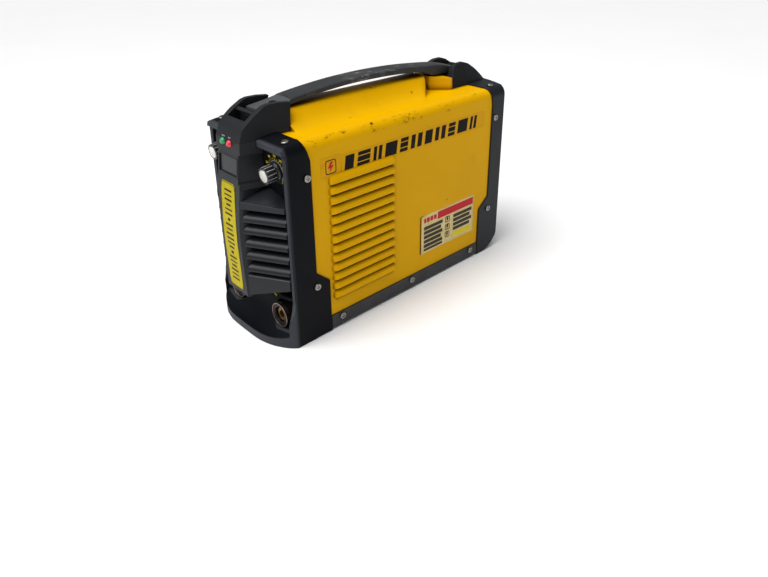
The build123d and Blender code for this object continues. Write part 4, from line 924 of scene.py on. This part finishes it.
def dial_piece(name, look, centre, shapes, lift):
    bm = bmesh.new()
    origin = centre + PANEL_OUT * lift
    for shape in shapes:
        prism(bm, transformed(shape, origin, (1, 0, 0), PANEL_UP), PANEL_OUT * 0.12 * MM)
    return place(to_object(bm, name, M[look]), CASE, "dial_print")


def digit_shapes(text, size):
    """Outlines of a number from seven-segment strokes."""
    strokes = {
        "0": "abcdef", "1": "bc", "2": "abged", "3": "abgcd", "4": "fgbc", "5": "afgcd", "6": "afgedc",
        "7": "abc", "8": "abcdefg", "9": "abcfgd",
    }
    w, h, t = size * 0.52, size, size * 0.17
    bars = {
        "a": (0, w, h - t, h), "g": (0, w, (h - t) / 2, (h + t) / 2), "d": (0, w, 0, t),
        "b": (w - t, w, h / 2, h), "c": (w - t, w, 0, h / 2), "f": (0, t, h / 2, h), "e": (0, t, 0, h / 2),
    }
    shapes = []
    shift = -(len(text) * (w + t) - t) / 2
    for char in text:
        for key in strokes[char]:
            x0, x1, y0, y1 = bars[key]
            shapes.append([(x + shift, y - h / 2) for x, y in ((x0, y0), (x1, y0), (x1, y1), (x0, y1))])
        shift += w + t
    return shapes


def rolled(shape, angle, radius):
    """Shape moved out to a radius on the dial, kept upright."""
    cx, cy = radius * math.sin(angle), radius * math.cos(angle)
    return [(cx + x, cy + y) for x, y in shape]


right_numbers = [str(20 * k) for k in range(1, 10)]
left_numbers = [str(k) for k in range(9)]
for tag, labels in (("right", right_numbers), ("left", left_numbers)):
    centre = Vector(JOINTS["knob_" + tag + "_turn"]["pos_m"]) / MM
    ticks = []
    for k in range(21):
        a = math.radians(-150 + 15 * k)
        inner, outer = (13.2, 14.6) if k % 5 else (12.8, 15.0)
        half = 0.24 if k % 5 else 0.4
        corners = ((-half, inner), (half, inner), (half, outer), (-half, outer))
        ticks.append([(px * math.cos(a) + py * math.sin(a), -px * math.sin(a) + py * math.cos(a))
                      for px, py in corners])
    for k, text in enumerate(labels):
        a = math.radians(-140 + 35 * k)
        ticks += [rolled(shape, a, NUMBER_RADIUS) for shape in digit_shapes(text, NUMBER_HEIGHT)]
    dial_piece("dial_ticks_" + tag, "ink_yellow", centre, ticks, DIAL_LIFT)
    crescent = []
    for k in range(CRESCENT_PARTS):
        a0 = math.radians(-140 + 280 * k / CRESCENT_PARTS)
        a1 = math.radians(-140 + 280 * (k + 1) / CRESCENT_PARTS)
        r0 = CRESCENT_OUTER + CRESCENT_GROWTH * k / CRESCENT_PARTS
        r1 = CRESCENT_OUTER + CRESCENT_GROWTH * (k + 1) / CRESCENT_PARTS
        crescent.append([(radius * math.sin(a), radius * math.cos(a))
                         for radius, a in ((CRESCENT_INNER, a0), (r0, a0), (r1, a1), (CRESCENT_INNER, a1))])
    dial_piece("dial_crescent_" + tag, "ink_grey_light", centre, crescent, DIAL_LIFT)

for body in ("knob_right", "knob_left"):
    centre = Vector(JOINTS[body + "_turn"]["pos_m"]) / MM
    bm = bmesh.new()
    # one line per flute ridge: the wider one at 330 degrees is the printed pointer, the thin ones are painted
    # highlights
    for turn in range(0, 360, 30):
        a = math.radians(turn + 15)
        outward = Vector((math.sin(a), 0, 0)) + PANEL_UP * math.cos(a)
        across = outward.cross(PANEL_OUT)
        half = 0.42 if turn == 330 else 0.2
        corners = []
        for s, depth in ((-half, 6.2), (half, 6.2), (half, 16.9), (-half, 16.9)):
            corners.append((centre + outward * 9.24 + across * s + PANEL_OUT * depth) * MM)
        prism(bm, corners, outward * 0.16 * MM)
    place(to_object(bm, body + "_lines", M["pointer_ink_and_painted_highlight"]), body, "knob_black")

# ------------------------------------------------------------------ polarity marks beside the sockets
def polarity_mark(name, x, z, bars):
    """Short printed bars (u across, v up) laid on the hollow above a socket."""
    bm = bmesh.new()
    for u0, u1, v0, v1 in bars:
        ring = []
        for u, v in ((u0, v0), (u1, v0), (u1, v1), (u0, v1)):
            deep = math.sqrt(SCOOP_RADIUS**2 - (z + v - SCOOP_Z) ** 2)
            ring.append(Vector((x + u, SCOOP_Y + deep - 0.06, z + v)) * MM)
        prism(bm, ring, Vector((0, -0.12 * MM, 0)))
    return place(to_object(bm, name, M["ink_yellow"]), CASE, "sticker")


DASH = (-2.8, 2.8, -0.55, 0.55)
socket_x, _, socket_z = Vector(MOUNTS["output_right"]["pos_m"]) / MM
mark_x = socket_x - 16.5
mark_level = socket_z + 17.9
upright = ((-0.55, 0.55, 0.55, 2.8), (-0.55, 0.55, -2.8, -0.55))
polarity_mark("mark_right", mark_x, mark_level, (DASH,) + upright)
polarity_mark("mark_left", -mark_x, mark_level, (DASH,))

# ------------------------------------------------------------------ rating plate print
plate_low, plate_high = box_mm("rating_plate")
bm = bmesh.new()
for i in range(6):
    z = plate_high.z - 3.4 - i * 3.7
    left = plate_low.x + 3.0
    for x0, x1 in ((left, left + 24.0 - 4.0 * (i % 3)), (left + 29.0, left + 59.0 - 6.0 * (i % 2))):
        shape = ((x0, z - 1.5), (x1, z - 1.5), (x1, z), (x0, z))
        ring = transformed(shape, (0, plate_high.y + 0.02, 0), (1, 0, 0), (0, 0, 1))
        prism(bm, ring, Vector((0, DECAL * MM, 0)))
place(to_object(bm, "rating_print", M["ink"]), CASE, "sticker")

# ------------------------------------------------------------------ stage, light and camera
floor_mesh = bpy.data.meshes.new("floor")
size = 6.0
corners = [(-size, -size, 0), (size, -size, 0), (size, size, 0), (-size, size, 0)]
floor_mesh.from_pydata(corners, [], [(0, 1, 2, 3)])
floor = bpy.data.objects.new("floor", floor_mesh)
bpy.context.collection.objects.link(floor)
g = Graph("pale_floor")
g.put(g.bsdf, "Base Color", g.mix(g.noise(3.0), (0.86, 0.86, 0.86, 1), (0.9, 0.9, 0.9, 1)))
g.bsdf.inputs["Roughness"].default_value = 0.75
floor.data.materials.append(g.mat)
floor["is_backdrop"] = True

world = bpy.data.worlds.new("studio")
bpy.context.scene.world = world
world.use_nodes = True
world.node_tree.nodes["Background"].inputs[0].default_value = (1.0, 1.0, 1.0, 1)
world.node_tree.nodes["Background"].inputs[1].default_value = 0.25
bpy.context.scene.view_settings.view_transform = "Standard"
key = bpy.data.lights.new("key", "SUN")
key.energy = 2.9
key.angle = math.radians(50.0)
key_item = bpy.data.objects.new("key", key)
bpy.context.collection.objects.link(key_item)
key_item.rotation_euler = Vector((-0.1, -0.45, 1.0)).to_track_quat("Z", "Y").to_euler()


def softbox(name, position, aim, size_x, size_y, power):
    """Rectangular studio light pointed at aim."""
    lamp = bpy.data.lights.new(name, "AREA")
    lamp.shape = "RECTANGLE"
    lamp.size = size_x
    lamp.size_y = size_y
    lamp.energy = power
    item = bpy.data.objects.new(name, lamp)
    bpy.context.collection.objects.link(item)
    item.location = position
    item.rotation_euler = (Vector(aim) - Vector(position)).to_track_quat("-Z", "Y").to_euler()


centre = (0.0, 0.0, 0.13)
softbox("overhead", (-0.2, -0.1, 1.6), centre, 1.6, 1.2, 6.0)
softbox("front_left", (-0.5, -1.5, 0.8), centre, 0.8, 0.8, 4.5)
softbox("side_high", (1.0, 0.2, 1.7), centre, 0.35, 0.5, 2.5)
softbox("glint", (0.25, -1.6, 1.15), centre, 0.09, 0.09, 1.6)

CAMERA_AZIMUTH = math.radians(45.32)
CAMERA_ELEVATION = math.radians(23.92)
CAMERA_ROLL = math.radians(0.18)
CAMERA_PLACE = (0.60040, -0.53563, 0.46565)
back = Vector((math.sin(CAMERA_AZIMUTH) * math.cos(CAMERA_ELEVATION),
               -math.cos(CAMERA_AZIMUTH) * math.cos(CAMERA_ELEVATION), math.sin(CAMERA_ELEVATION)))
camera_data = bpy.data.cameras.new("camera")
camera_data.sensor_width = 36.0
camera_data.lens = 30.33
camera_data.shift_x = -0.0251
camera_data.shift_y = -0.1173
camera_data.clip_start = 0.01
camera = bpy.data.objects.new("camera", camera_data)
bpy.context.collection.objects.link(camera)
turn = (back.to_track_quat("Z", "Y").to_matrix() @ Matrix.Rotation(CAMERA_ROLL, 3, "Z")).to_4x4()
camera.matrix_world = Matrix.Translation(CAMERA_PLACE) @ turn
bpy.context.scene.camera = camera

# ------------------------------------------------------------------ sizes
low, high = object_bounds()
